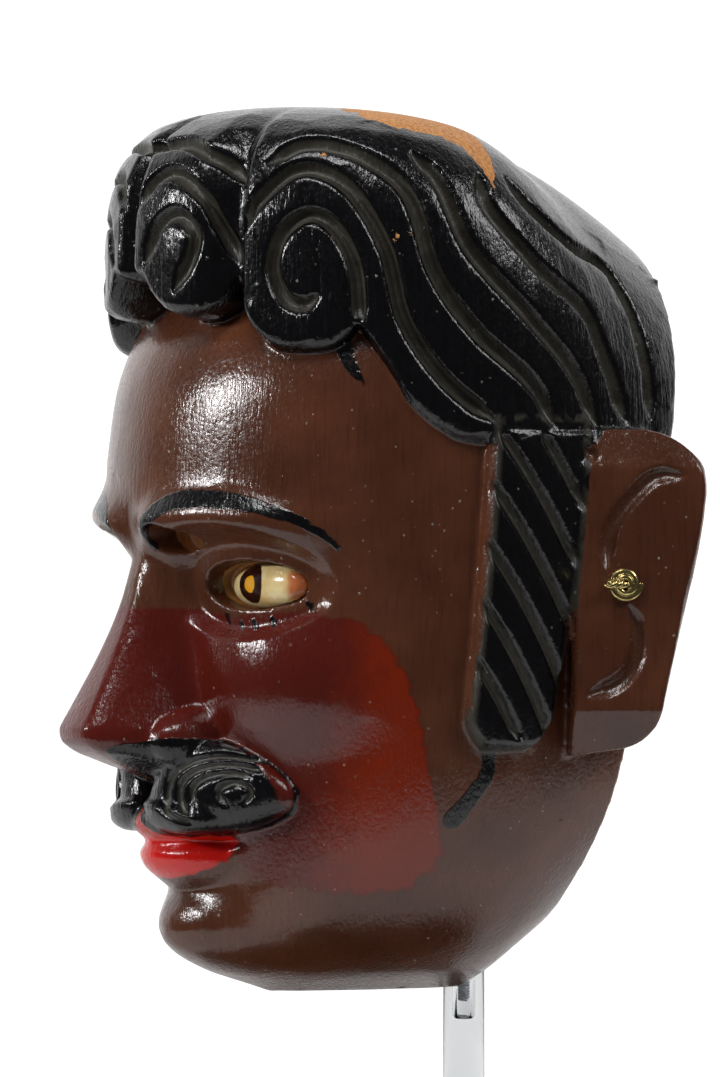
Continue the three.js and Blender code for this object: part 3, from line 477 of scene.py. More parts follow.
def read_points(mesh):
    points = np.zeros(len(mesh.vertices) * 3)
    mesh.vertices.foreach_get("co", points)
    return points.reshape(-1, 3)


def read_normals(mesh):
    normals = np.zeros(len(mesh.vertices) * 3)
    mesh.vertex_normals.foreach_get("vector", normals)
    return normals.reshape(-1, 3)


def read_edges(mesh):
    edges = np.zeros(len(mesh.edges) * 2, int)
    mesh.edges.foreach_get("vertices", edges)
    return edges.reshape(-1, 2)


def mark(mesh, label, values):
    mesh.attributes.new(label, "FLOAT", "POINT").data.foreach_set("value", values.astype(np.float32))


def spread(edges, count, values):
    total = np.stack([np.bincount(edges[:, 0], column[edges[:, 1]], count)
                      + np.bincount(edges[:, 1], column[edges[:, 0]], count) for column in values.T], 1)
    return total / np.maximum(np.bincount(edges.ravel(), minlength=count), 1)[:, None]


remesh = mask.modifiers.new("skin", "REMESH")
remesh.mode, remesh.voxel_size, remesh.adaptivity = "VOXEL", VOXEL, 0
baked(mask)
mesh = mask.data
points, normals, edges = read_points(mesh), read_normals(mesh), read_edges(mesh)
count = len(points)
angle = np.arctan2(points[:, 0], AXIS_Y - points[:, 1])
outer = np.nonzero(np.hypot(points[:, 0], points[:, 1] - AXIS_Y) > head_radius(angle, points[:, 2]) - 3)[0]
chosen = np.random.default_rng(7).choice(outer, int(len(outer) * VOXEL**2 / PLANE_GAP**2), replace=False)
planes = near_finder(points[chosen])
site = chosen[[planes.find(points[i])[1] for i in outer]]
level = np.einsum("ij,ij->i", points[site] - points[outer], normals[site])
facing = ease(0.88, 0.98, np.einsum("ij,ij->i", normals[outer], normals[site]))
carved_hair = ease(-2, 4, points[outer, 2] - hairline(angle[outer]))
share = SKIN_SHARE + (HAIR_SHARE - SKIN_SHARE) * carved_hair
planed = level * np.exp(-(level / PLANE_MOST) ** 2) * facing * share
cut_points, cut_sizes = np.vstack(cut_points), np.vstack(cut_sizes)
cuts = near_finder(cut_points)
found = [cuts.find(points[i])[1:] for i in outer]
half, deep = cut_sizes[[k for k, _ in found]].T
depth = np.zeros(count)
depth[outer] = deep * np.maximum(1 - (np.array([d for _, d in found]) / half) ** 2, 0)
points[outer] += normals[site] * planed[:, None]
points -= normals * depth[:, None]
for _ in range(2):
    points = points + 0.5 * (spread(edges, count, points) - points)
mesh.vertices.foreach_set("co", points.ravel())
mesh.update()
mark(mesh, "cut_depth", depth)
mask.modifiers.new("three_sided", "TRIANGULATE")
mask.modifiers.new("thin", "DECIMATE").ratio = MASK_TRIANGLES / (2 * len(mesh.polygons))
baked(mask)
mask.data.materials.clear()


# The paint: gloss enamel brushed straight on the wood, brown for the skin, black for the hair, red for the nose,
# cheeks and lips. Each colour's patch is kept as a distance in millimetres inside its edge, for the brush to follow.
NOSE_RED_TOP, NOSE_RED_SIDE, CHEEK_MIDDLE, CHEEK_REACH = 101.0, 26.0, (45.0, 63.0), (30.0, 36.0)
BROW_STROKE = [[6.5, 116], [8.5, 123], [15, 127.5], [25, 128], [36, 125.5], [45, 120.5], [52, 113]]
TAIL_STROKE = [[83.6, 66], [84.6, 58], [81, 51.5], [76.5, 45.8]]
WISP_STROKE = [[51, 166], [52.5, 162], [56, 156]]
LASHES = ((21, 98.3, 1.8), (25.5, 97, 2.0), (29.5, 96.6, 2.2), (34, 97.4, 2.1), (42.5, 101.5, 2.4))
BARE_CROWN_EDGE = [[28, 233], [34, 230.6], [45, 228.8], [55, 225.6], [62, 223], [70, 222], [78, 219], [82, 212.5],
                   [84, 208], [87, 218], [92, 230]]
LIP_WIDE, LIP_TALL, LIP_MIDDLE = 21.5, 9.0, 39.0
UNPAINTED, FAR_INSIDE = -9, 50


def stroke(pairs, widths, side):
    line = on_surface(pairs, skin_radius, side)
    return line, np.interp(np.linspace(0, 1, len(line)), np.linspace(0, 1, len(widths)), widths) / 2


mesh = mask.data
points, normals, edges = read_points(mesh), read_normals(mesh), read_edges(mesh)
count = len(points)
x, y, z = points.T
side_x, radius = np.abs(x), np.hypot(x, y - AXIS_Y)
angle = np.arctan2(side_x, AXIS_Y - y)
degrees, bare = np.degrees(angle), head_radius(angle, z)
across = angle * bare
skin = skin_radius(angle, np.minimum(z, SKIN_TOP))
under_hair = np.minimum(hair_radius(angle, z), head_radius(angle, np.full(count, HAIR_JOIN_Z)))
outside = np.where(z < HAIR_JOIN_Z, np.minimum(bare, skin), under_hair)
raw_wood = np.minimum(0.4 * outside + 0.6 * hollow_radius(angle, z) - radius, crown_top(x, y) - z - 6.5)
raw_wood = np.maximum(raw_wood, y - rim_y(z) + 0.5)
raw_wood = np.where((z > HAIR_SHOULDER_Z) & (normals[:, 2] > 0.2), UNPAINTED, raw_wood)
ear_back = np.where((radius > hair_wall(angle) + 1) & (z < 146), y - rim_y(z) + 1.9, UNPAINTED)
hair_paint = np.minimum(z - hairline(angle) + 0.4, hair_wall(angle) + 1.3 - radius)
down = np.clip((SIDEBURN_TOP - z) / (SIDEBURN_TOP - SIDEBURN_BOTTOM), 0, 1)
sideburn_paint = sideburn_half(down) + 0.5 - np.abs(y - SIDEBURN_Y + SIDEBURN_LEAN * down)
sideburn_paint = np.minimum(np.minimum(sideburn_paint, z - SIDEBURN_BOTTOM + 0.8), SIDEBURN_TOP + 4 - z)
fx = (side_x - MOUSTACHE_MIDDLE[0]) / MOUSTACHE_REACH[0]
fy = (z - MOUSTACHE_MIDDLE[1] - moustache_droop(fx)) / (MOUSTACHE_REACH[1] * (1 - 0.12 * np.clip(fx, -1, 1)))
moustache_paint = np.where(y < -70, (1 - np.hypot(fx, fy)) * MOUSTACHE_REACH[1] + 0.6, UNPAINTED)
strokes = []
for side in (1, -1):
    strokes.append(stroke(BROW_STROKE, [3.2, 5.2, 5.4, 4.8, 3.6, 2.4, 1.2], side))
    strokes.append(stroke(TAIL_STROKE, [4.4, 3.8, 4.6, 5.2], side))
    strokes.append(stroke(WISP_STROKE, [4.4, 3.0, 0.6], side))
    for spot, drop, width in LASHES:
        strokes.append(stroke([[spot, drop], [spot + 0.6, drop - 1.8]], [width, width * 0.7], side))
drawn = near_finder(np.vstack([line for line, _ in strokes]))
halves = np.concatenate([widths for _, widths in strokes])
found = [drawn.find(point)[1:] for point in points]
stroke_paint = halves[[k for k, _ in found]] - np.array([d for _, d in found])
stroke_paint = np.where(radius > bare - 9, stroke_paint, UNPAINTED)
black = np.maximum(np.maximum(hair_paint, sideburn_paint), np.maximum(moustache_paint, stroke_paint))
nose_red = np.minimum(np.minimum(NOSE_RED_TOP - z - 0.1 * across, z - NOSE_BASE_Z + 2.5), NOSE_RED_SIDE - across)
nose_red = np.where(y < -60, nose_red, -20)
off = [np.abs((at - middle) / reach) ** 3 for at, middle, reach in zip((across, z), CHEEK_MIDDLE, CHEEK_REACH)]
cheek = (1 - (off[0] + off[1]) ** (1 / 3)) * CHEEK_REACH[0]
lips = np.where(y < -78, (1 - np.hypot(x / LIP_WIDE, (z - LIP_MIDDLE) / LIP_TALL)) * LIP_TALL, UNPAINTED)
crown_bare = np.minimum(z - profile(BARE_CROWN_EDGE, degrees), radius - 0.5 * hair_wall(angle))
crown_bare = np.where(degrees > 92, UNPAINTED, np.where(x > 0, crown_bare, crown_bare - 3))
proud = -((spread(edges, count, points) - points) * normals).sum(1)
for _ in range(3):
    proud = spread(edges, count, proud[:, None])[:, 0]
easily_chipped = hump(degrees - 55, z - 205, 28, 26) + 0.6 * hump(degrees - 12, z - 192, 12, 14)
painted = {
    "black": black, "nose_red": nose_red, "cheek_red": cheek, "lip_red": lips, "crown_bare": crown_bare,
    "raw_wood": np.maximum(raw_wood, ear_back), "proud": proud, "chipped": np.minimum(easily_chipped, 1),
    "cheek_glow": across - 0.35 * (z - 60) - 50, "under_lip": MOUTH_Z - z,
    "strap_rim": 1.8 - np.abs(sideburn_paint - 0.2),
}


# Moves a mesh from the mask's own frame to the part's, in metres, and shades it smooth up to an edge's sharp angle
def settled(mesh, points, sharp=None):
    mesh.vertices.foreach_set("co", ((points + [0, ROD_BACK, CHIN_Z]) / 1000).ravel())
    mesh.polygons.foreach_set("use_smooth", np.ones(len(mesh.polygons), bool))
    if sharp is not None:
        mesh.set_sharp_from_angle(angle=math.radians(sharp))
    mesh.update()


for name, values in painted.items():
    mark(mesh, name, np.clip(values, -FAR_INSIDE, FAR_INSIDE))
settled(mesh, points)


def node(tree, kind, inputs=(), **settings):
    made = tree.nodes.new(kind)
    for name, value in settings.items():
        setattr(made, name, value)
    for name, value in dict(inputs).items():
        if isinstance(value, bpy.types.NodeSocket):
            tree.links.new(value, made.inputs[name])
        else:
            made.inputs[name].default_value = value
    return made


def colour(code):
    srgb = [int(code[i:i + 2], 16) / 255 for i in (1, 3, 5)]
    return [c / 12.92 if c <= 0.04045 else ((c + 0.055) / 1.055) ** 2.4 for c in srgb] + [1.0]


def finish(name):
    made = bpy.data.materials.new(name)
    made.use_nodes = True
    return made, made.node_tree, made.node_tree.nodes["Principled BSDF"]


# One coat brushed over another up to the edge of its patch, which the brush leaves ragged by so many millimetres
def coat(tree, under, paint, patch, ragged, by, soft=0.3):
    inside = node(tree, "ShaderNodeAttribute", attribute_name=patch).outputs["Fac"]
    shaken = node(tree, "ShaderNodeMath", {0: ragged, 1: by, 2: inside}, operation="MULTIPLY_ADD").outputs[0]
    share = node(tree, "ShaderNodeMapRange", {0: shaken, 1: by / 2 - soft, 2: by / 2 + soft},
                 interpolation_type="SMOOTHSTEP").outputs[0]
    return node(tree, "ShaderNodeMix", {0: share, 6: under, 7: paint}, data_type="RGBA").outputs[2], share


# Gloss enamel on carved softwood shines hard and wet, over fine upright ridges where the grain has swollen under
# it. It is pitted and dusty, dull grey in the cuts on black, and chips from the highest edges to orange-tan wood.
enamel, t, shader = finish("gloss_enamel_on_carved_wood")
place = node(t, "ShaderNodeTexCoord").outputs["Object"]
ridges, fibres = (
    node(t, "ShaderNodeTexNoise", {
        "Vector": node(t, "ShaderNodeMapping", {"Vector": place, "Scale": (across, across, along)}).outputs[0],
        "Scale": 1, "Detail": detail, "Roughness": 0.6}).outputs["Fac"]
    for across, along, detail in ((900, 75, 3), (2200, 220, 2)))
clouds = node(t, "ShaderNodeTexNoise", {"Vector": place, "Scale": 1000 / 24, "Detail": 3}).outputs["Fac"]
ragged = node(t, "ShaderNodeTexNoise", {
    "Vector": place, "Scale": 1000 / 6, "Detail": 5, "Roughness": 0.7}).outputs["Fac"]
brush_edge = node(t, "ShaderNodeTexNoise", {"Vector": place, "Scale": 1000 / 3, "Detail": 4}).outputs["Fac"]
orange_peel = node(t, "ShaderNodeTexNoise", {"Vector": place, "Scale": 1000 / 1.1, "Detail": 3}).outputs["Fac"]
dust_spots = node(t, "ShaderNodeTexVoronoi", {"Vector": place, "Scale": 1000 / 3.2}).outputs["Distance"]

cloudy = node(t, "ShaderNodeMapRange", {0: clouds, 1: 0.35, 2: 0.7}).outputs[0]
brown = node(t, "ShaderNodeMix", {0: cloudy, 6: colour("#4b2819"), 7: colour("#5e3623")}, data_type="RGBA").outputs[2]
streaks = node(t, "ShaderNodeMapRange", {0: ridges, 1: 0.5, 2: 0.75, 3: 0, 4: 0.35}).outputs[0]
brown = node(t, "ShaderNodeMix", {0: streaks, 6: brown, 7: colour("#2c140d")}, data_type="RGBA").outputs[2]
dark_red, _ = coat(t, brown, colour("#561710"), "nose_red", ragged, 5.0, 0.8)
dark_red, _ = coat(t, dark_red, colour("#52170e"), "cheek_red", ragged, 8.0, 0.9)
glow = node(t, "ShaderNodeAttribute", attribute_name="cheek_glow").outputs["Fac"]
glow = node(t, "ShaderNodeMath", {0: ragged, 1: 16.0, 2: glow}, operation="MULTIPLY_ADD").outputs[0]
glow = node(t, "ShaderNodeMapRange", {0: glow, 1: 2, 2: 22}, interpolation_type="SMOOTHSTEP").outputs[0]
patch = node(t, "ShaderNodeAttribute", attribute_name="cheek_red").outputs["Fac"]
patch = node(t, "ShaderNodeMath", {0: ragged, 1: 7.0, 2: patch}, operation="MULTIPLY_ADD").outputs[0]
patch = node(t, "ShaderNodeMapRange", {0: patch, 1: 2.9, 2: 4.6}, interpolation_type="SMOOTHSTEP").outputs[0]
glow = node(t, "ShaderNodeMath", {0: glow, 1: patch}, operation="MULTIPLY").outputs[0]
skin_paint = node(t, "ShaderNodeMix", {0: glow, 6: dark_red, 7: colour("#7a2206")}, data_type="RGBA").outputs[2]
rubbed = node(t, "ShaderNodeAttribute", attribute_name="under_lip").outputs["Fac"]
rubbed = node(t, "ShaderNodeMath", {0: brush_edge, 1: 3.0, 2: rubbed}, operation="MULTIPLY_ADD").outputs[0]
rubbed = node(t, "ShaderNodeMapRange", {0: rubbed, 1: 0.9, 2: 0.2, 3: 0, 4: 0.8}).outputs[0]
lip_paint = node(t, "ShaderNodeMix", {0: rubbed, 6: colour("#c9130c"), 7: colour("#a3240f")},
                 data_type="RGBA").outputs[2]
skin_paint, _ = coat(t, skin_paint, lip_paint, "lip_red", brush_edge, 1.6)
blacks = node(t, "ShaderNodeMapRange", {0: ridges, 1: 0.4, 2: 0.7, 3: 0, 4: 0.6}).outputs[0]
black_paint = node(t, "ShaderNodeMix", {0: blacks, 6: colour("#030305"), 7: colour("#0a0b10")},
                   data_type="RGBA").outputs[2]
paint, black_share = coat(t, skin_paint, black_paint, "black", brush_edge, 1.3)

in_cut = node(t, "ShaderNodeAttribute", attribute_name="cut_depth").outputs["Fac"]
in_cut = node(t, "ShaderNodeMapRange", {0: in_cut, 1: 0.3, 2: 1.8, 3: 0, 4: 0.85},
              interpolation_type="SMOOTHSTEP").outputs[0]
strap_rim = node(t, "ShaderNodeAttribute", attribute_name="strap_rim").outputs["Fac"]
strap_rim = node(t, "ShaderNodeMapRange", {0: strap_rim, 1: 0.4, 2: 1.6, 3: 0, 4: 0.8}).outputs[0]
dusty = node(t, "ShaderNodeMath", {0: in_cut, 1: strap_rim}, operation="MAXIMUM").outputs[0]
uneven = node(t, "ShaderNodeMapRange", {0: ragged, 1: 0.3, 2: 0.7, 3: 0.45, 4: 1}).outputs[0]
on_black = node(t, "ShaderNodeMapRange", {0: black_share, 3: 0.2}).outputs[0]
for part in (uneven, on_black):
    dusty = node(t, "ShaderNodeMath", {0: dusty, 1: part}, operation="MULTIPLY").outputs[0]
paint = node(t, "ShaderNodeMix", {0: dusty, 6: paint, 7: colour("#403c31")}, data_type="RGBA").outputs[2]
specks = node(t, "ShaderNodeMapRange", {0: dust_spots, 1: 0.13, 2: 0.08, 3: 0, 4: 0.7}).outputs[0]
thinly = node(t, "ShaderNodeMapRange", {0: ragged, 1: 0.5, 2: 0.6}).outputs[0]
specks = node(t, "ShaderNodeMath", {0: specks, 1: thinly}, operation="MULTIPLY").outputs[0]
paint = node(t, "ShaderNodeMix", {0: specks, 6: paint, 7: colour("#8d8377")}, data_type="RGBA").outputs[2]

wood_grain = node(t, "ShaderNodeMapping", {"Vector": place, "Scale": (1250, 1250, 55)}).outputs[0]
wood_grain = node(t, "ShaderNodeTexNoise", {"Vector": wood_grain, "Scale": 1, "Detail": 4}).outputs["Fac"]
wood_grain = node(t, "ShaderNodeMapRange", {0: wood_grain, 1: 0.35, 2: 0.65}).outputs[0]
wood = node(t, "ShaderNodeMix", {0: wood_grain, 6: colour("#a8642a"), 7: colour("#d0934c")},
            data_type="RGBA").outputs[2]
handled = node(t, "ShaderNodeMix", {0: cloudy, 6: colour("#7c5730"), 7: colour("#a87c48")},
               data_type="RGBA").outputs[2]
handled = node(t, "ShaderNodeMix", {0: 0.6, 6: wood, 7: handled}, data_type="RGBA").outputs[2]
proud = node(t, "ShaderNodeAttribute", attribute_name="proud").outputs["Fac"]
proud = node(t, "ShaderNodeMapRange", {0: proud, 1: 0.03, 2: 0.07}).outputs[0]
chipped = node(t, "ShaderNodeAttribute", attribute_name="chipped").outputs["Fac"]
flaked = node(t, "ShaderNodeMapRange", {0: ragged, 1: 0.6, 2: 0.64}).outputs[0]
for part in (flaked, proud):
    chipped = node(t, "ShaderNodeMath", {0: chipped, 1: part}, operation="MULTIPLY").outputs[0]
chipped = node(t, "ShaderNodeMapRange", {0: chipped, 1: 0.25, 2: 0.4}).outputs[0]
paint = node(t, "ShaderNodeMix", {0: chipped, 6: paint, 7: wood}, data_type="RGBA").outputs[2]
paint, crown_share = coat(t, paint, wood, "crown_bare", ragged, 5.0, 0.25)
paint, inside_share = coat(t, paint, handled, "raw_wood", brush_edge, 1.2)
t.links.new(paint, shader.inputs["Base Color"])

bare = crown_share
for part in (inside_share, chipped):
    bare = node(t, "ShaderNodeMath", {0: bare, 1: part}, operation="MAXIMUM").outputs[0]
dull = node(t, "ShaderNodeMath", {0: bare, 1: dusty}, operation="MAXIMUM").outputs[0]
shine = node(t, "ShaderNodeMapRange", {0: orange_peel, 1: 0.3, 2: 0.7, 3: 0.13, 4: 0.27}).outputs[0]
t.links.new(node(t, "ShaderNodeMath", {0: dull, 1: 0.45, 2: shine}, operation="MULTIPLY_ADD").outputs[0],
            shader.inputs["Roughness"])
shader.inputs["IOR"].default_value = 1.52
rough_black = node(t, "ShaderNodeMath", {0: ridges, 1: black_share}, operation="MULTIPLY").outputs[0]
height = 0.0
for part, millimetres in ((ridges, 0.11), (rough_black, 0.12), (fibres, 0.05), (orange_peel, 0.09),
                          (black_share, 0.06), (bare, -0.1), (specks, 0.12)):
    height = node(t, "ShaderNodeMath", {0: part, 1: millimetres, 2: height}, operation="MULTIPLY_ADD").outputs[0]
relief = node(t, "ShaderNodeBump", {"Height": height, "Strength": 1.0, "Distance": 0.001})
t.links.new(relief.outputs[0], shader.inputs["Normal"])
mesh.materials.append(enamel)
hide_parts("mask")
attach(mask, "root")


# The eyes: two ovals of the same wood, turned and filed, painted cream with a dark ring and a yellow middle, and
# glued into the almond openings from behind.
EYE_RECESS, IRIS_AT, IRIS_RADIUS, PUPIL_RADIUS = 2.5, (-1.5, 0.3), 5.0, 2.2
# Gloss enamel on turned wood is smooth and bright, with a soft brush edge round each colour.
painted_eye, t, shader = finish("gloss_enamel_on_turned_wood")
place = node(t, "ShaderNodeTexCoord").outputs["Object"]
brush_edge = node(t, "ShaderNodeTexNoise", {"Vector": place, "Scale": 1000 / 1.2, "Detail": 2}).outputs["Fac"]
clouds = node(t, "ShaderNodeTexNoise", {"Vector": place, "Scale": 1000 / 5, "Detail": 2}).outputs["Fac"]
cloudy = node(t, "ShaderNodeMapRange", {0: clouds, 1: 0.4, 2: 0.65}).outputs[0]
cream = node(t, "ShaderNodeMix", {0: cloudy, 6: colour("#ead8a4"), 7: colour("#dcbc7c")}, data_type="RGBA").outputs[2]
cream, _ = coat(t, cream, colour("#b8683c"), "red_corner", clouds, 3.0, 1.0)
cream, _ = coat(t, cream, colour("#2a0f08"), "iris", brush_edge, 0.5, 0.15)
cream, _ = coat(t, cream, colour("#f0a807"), "pupil", brush_edge, 0.5, 0.15)
t.links.new(cream, shader.inputs["Base Color"])
shader.inputs["Roughness"].default_value = 0.18
shader.inputs["IOR"].default_value = 1.52
relief = node(t, "ShaderNodeBump", {"Height": brush_edge, "Strength": 1.0, "Distance": 0.00003})
t.links.new(relief.outputs[0], shader.inputs["Normal"])

for side, name in ((1, "eye_left"), (-1, "eye_right")):
    lid_angle = float(angle_of(np.array(EYE_X), np.array(EYE_Z)))
    lid_y = AXIS_Y - float(skin_radius(np.array(lid_angle), np.array(EYE_Z))) * math.cos(lid_angle)
    across_eye, up_eye = almond(EYE_LENGTH - 2 * CLEAR, EYE_HEIGHT - 2 * CLEAR, 96)
    reach = np.linspace(0.02, 1, 24)
    bulge = 4 * (1 - np.sqrt(1 - (0.97 * reach) ** 2)) / (1 - math.sqrt(1 - 0.97**2))
    rows = [np.stack([side * (EYE_X + r * across_eye), lid_y + EYE_RECESS + back + 0.15 * r * across_eye,
                      EYE_Z + r * up_eye], 1) for r, back in zip([*reach, 1, 1], [*bulge, 6.5, 9])]
    eye = closed_grid(name + "_wood", np.array(rows))
    points = read_points(eye.data)
    off = side * points[:, 0] - EYE_X - IRIS_AT[0]
    apart = np.hypot(off, points[:, 2] - EYE_Z - IRIS_AT[1])
    for label, values in (("iris", IRIS_RADIUS - apart), ("pupil", PUPIL_RADIUS - apart), ("red_corner", off - 12.8)):
        mark(eye.data, label, values)
    settled(eye.data, points)
    eye.data.materials.append(painted_eye)
    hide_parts(name)
    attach(eye, "root")


# The ear studs: one length of brass wire wound flat to a knot, its two ends twisted together into a short stub that
# leans forwards, with a straight tail pushed through the ear.
KNOT_SIZES = {"Turns": 2.2, "Outer radius": 4.2, "Inner radius": 1.0, "Rise": 1.7, "Wire radius": 0.8,
              "Twist radius": 0.66, "Stub length": 6.5, "Lean": 0.95, "Tail length": 6.5}
# Bright drawn brass is pale yellow, polished by the die along the wire and a little tarnished in its hollows.
brass, t, shader = finish("bright_drawn_brass")
place = node(t, "ShaderNodeTexCoord").outputs["Object"]
tarnish = node(t, "ShaderNodeTexNoise", {"Vector": place, "Scale": 1000 / 1.5, "Detail": 2}).outputs["Fac"]
dulled = node(t, "ShaderNodeMapRange", {0: tarnish, 1: 0.4, 2: 0.62}).outputs[0]
brass_look = node(t, "ShaderNodeMix", {0: dulled, 6: colour("#d3bf83"), 7: colour("#a3905a")},
                  data_type="RGBA").outputs[2]
t.links.new(brass_look, shader.inputs["Base Color"])
t.links.new(node(t, "ShaderNodeMapRange", {0: tarnish, 1: 0.3, 2: 0.7, 3: 0.16, 4: 0.34}).outputs[0],
            shader.inputs["Roughness"])
shader.inputs["Metallic"].default_value = 1.0


def geometry_tree(name, sizes):
    tree = bpy.data.node_groups.new(name, "GeometryNodeTree")
    tree.interface.new_socket("Geometry", in_out="OUTPUT", socket_type="NodeSocketGeometry")
    for label in sizes:
        tree.interface.new_socket(label, in_out="INPUT", socket_type="NodeSocketFloat")
    return tree, node(tree, "NodeGroupInput").outputs


def geometry_end(tree, parts, material):
    whole = node(tree, "GeometryNodeJoinGeometry")
    for part in parts:
        tree.links.new(part, whole.inputs[0])
    loose = node(tree, "GeometryNodeRealizeInstances", {0: whole.outputs[0]}).outputs[0]
    dressed = node(tree, "GeometryNodeSetMaterial", {"Geometry": loose, "Material": material}).outputs[0]
    node(tree, "NodeGroupOutput", {0: dressed})


def grown(name, tree, sizes):
    piece = bpy.data.objects.new(name, bpy.data.meshes.new(name))
    bpy.context.scene.collection.objects.link(piece)
    modifier = piece.modifiers.new(name, "NODES")
    modifier.node_group = tree
    for item in tree.interface.items_tree:
        if item.in_out == "INPUT":
            modifier[item.identifier] = float(sizes[item.name])
    baked(piece)
    return piece


knot_tree, given = geometry_tree("twisted_wire_knot", KNOT_SIZES)
wire, thin = (
    node(knot_tree, "GeometryNodeCurvePrimitiveCircle", {"Resolution": 16, "Radius": given[thickness]}).outputs[0]
    for thickness in ("Wire radius", "Twist radius"))
coil = node(knot_tree, "GeometryNodeCurveSpiral", {
    "Resolution": 40, "Rotations": given["Turns"], "Start Radius": given["Outer radius"],
    "End Radius": given["Inner radius"], "Height": given["Rise"]}).outputs[0]
coil = node(knot_tree, "GeometryNodeTransform", {"Geometry": coil, "Translation": (0, 0, 0.95)}).outputs[0]
swept = [(coil, wire)]
lean = node(knot_tree, "ShaderNodeCombineXYZ", {"Y": given["Lean"]}).outputs[0]
for half_turn in (0, math.pi):
    end = node(knot_tree, "GeometryNodeCurveSpiral", {
        "Resolution": 32, "Rotations": 1.5, "Start Radius": given["Twist radius"],
        "End Radius": given["Twist radius"], "Height": given["Stub length"]}).outputs[0]
    end = node(knot_tree, "GeometryNodeTransform", {"Geometry": end, "Rotation": (0, 0, half_turn)}).outputs[0]
    end = node(knot_tree, "GeometryNodeTransform", {
        "Geometry": end, "Translation": (0, 0, 2.0), "Rotation": lean}).outputs[0]
    swept.append((end, thin))
deep = node(knot_tree, "ShaderNodeMath", {0: given["Tail length"], 1: -1.0}, operation="MULTIPLY").outputs[0]
tail_end = node(knot_tree, "ShaderNodeCombineXYZ", {"Z": deep}).outputs[0]
tail = node(knot_tree, "GeometryNodeCurvePrimitiveLine", {"Start": (0, 0, 0), "End": tail_end}).outputs[0]
tail = node(knot_tree, "GeometryNodeTransform", {"Geometry": tail, "Translation": (0, 0, 1.6)}).outputs[0]
swept.append((tail, wire))
geometry_end(knot_tree, [node(knot_tree, "GeometryNodeCurveToMesh", {
    "Curve": path, "Profile Curve": section, "Fill Caps": True}).outputs[0] for path, section in swept], brass)

for side, name in ((1, "ear_stud_left"), (-1, "ear_stud_right")):
    knot = grown(name + "_wire", knot_tree, {**KNOT_SIZES, "Lean": -side * KNOT_SIZES["Lean"]})
    fused = knot.modifiers.new("fused", "REMESH")
    fused.mode, fused.voxel_size = "VOXEL", 0.14
    baked(knot)
    knot.data.materials.clear()
    knot.data.materials.append(brass)
    settled(knot.data, on_ear(side, read_points(knot.data)))
    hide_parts(name)
    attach(knot, "root")


# The threaded stud: a length of plated steel rod with a rolled thread, screwed into the mask and glued into the
# blind hole in the top of the acrylic rod.
THREAD_IN_ROD, THREAD_SIZES = 9.5, {"Length": 16.5, "Core radius": 1.4, "Crest radius": 0.32, "Pitch": 0.79}
# Zinc plate on steel is a cool light grey with a soft metallic shine.
steel, t, shader = finish("zinc_plated_steel")
place = node(t, "ShaderNodeTexCoord").outputs["Object"]
bloom = node(t, "ShaderNodeTexNoise", {"Vector": place, "Scale": 1000, "Detail": 2}).outputs["Fac"]
bloom = node(t, "ShaderNodeMapRange", {0: bloom, 1: 0.4, 2: 0.6}).outputs[0]
steel_look = node(t, "ShaderNodeMix", {0: bloom, 6: colour("#b9bcbf"), 7: colour("#8e9296")},
                  data_type="RGBA").outputs[2]
t.links.new(steel_look, shader.inputs["Base Color"])
shader.inputs["Metallic"].default_value = 1.0
shader.inputs["Roughness"].default_value = 0.3
thread_tree, given = geometry_tree("rolled_thread", THREAD_SIZES)
turns = node(thread_tree, "ShaderNodeMath", {0: given["Length"], 1: given["Pitch"]}, operation="DIVIDE").outputs[0]
crest = node(thread_tree, "GeometryNodeCurvePrimitiveCircle", {
    "Resolution": 8, "Radius": given["Crest radius"]}).outputs[0]
helix = node(thread_tree, "GeometryNodeCurveSpiral", {
    "Resolution": 28, "Rotations": turns, "Start Radius": given["Core radius"], "End Radius": given["Core radius"],
    "Height": given["Length"]}).outputs[0]
ridge = node(thread_tree, "GeometryNodeCurveToMesh", {
    "Curve": helix, "Profile Curve": crest, "Fill Caps": True}).outputs[0]
core = node(thread_tree, "GeometryNodeMeshCylinder", {
    "Vertices": 40, "Radius": given["Core radius"], "Depth": given["Length"]}).outputs[0]
lift = node(thread_tree, "ShaderNodeMath", {0: given["Length"], 1: 0.5}, operation="MULTIPLY").outputs[0]
lift = node(thread_tree, "ShaderNodeCombineXYZ", {"Z": lift}).outputs[0]
core = node(thread_tree, "GeometryNodeTransform", {"Geometry": core, "Translation": lift}).outputs[0]
geometry_end(thread_tree, [ridge, core], steel)
thread = grown("threaded_stud_steel", thread_tree, THREAD_SIZES)
settled(thread.data, read_points(thread.data) + [0, 0, ROD_SEAT_Z - THREAD_IN_ROD], 50)
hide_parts("threaded_stud")
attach(thread, "root")


# The stand: a round bar of clear cast acrylic with a blind hole drilled in its top, let into a polished square
# block of the same.
ROD_LENGTH, FOOT_HOLE, STUD_HOLE = 82.0, 12.0, 14.0
# Cast acrylic is water-clear and polished, bright at its edges.
acrylic, t, shader = finish("clear_cast_acrylic")
shader.inputs["Base Color"].default_value = colour("#fbfdff")
shader.inputs["Roughness"].default_value = 0.02
shader.inputs["IOR"].default_value = 1.49
shader.inputs["Transmission Weight"].default_value = 1.0


def lathe(name, outline, count=96):
    around = np.linspace(0, 2 * np.pi, count, endpoint=False)
    return closed_grid(name, np.array([
        np.stack([r * np.cos(around), r * np.sin(around), np.full(count, h)], 1) for r, h in outline]))


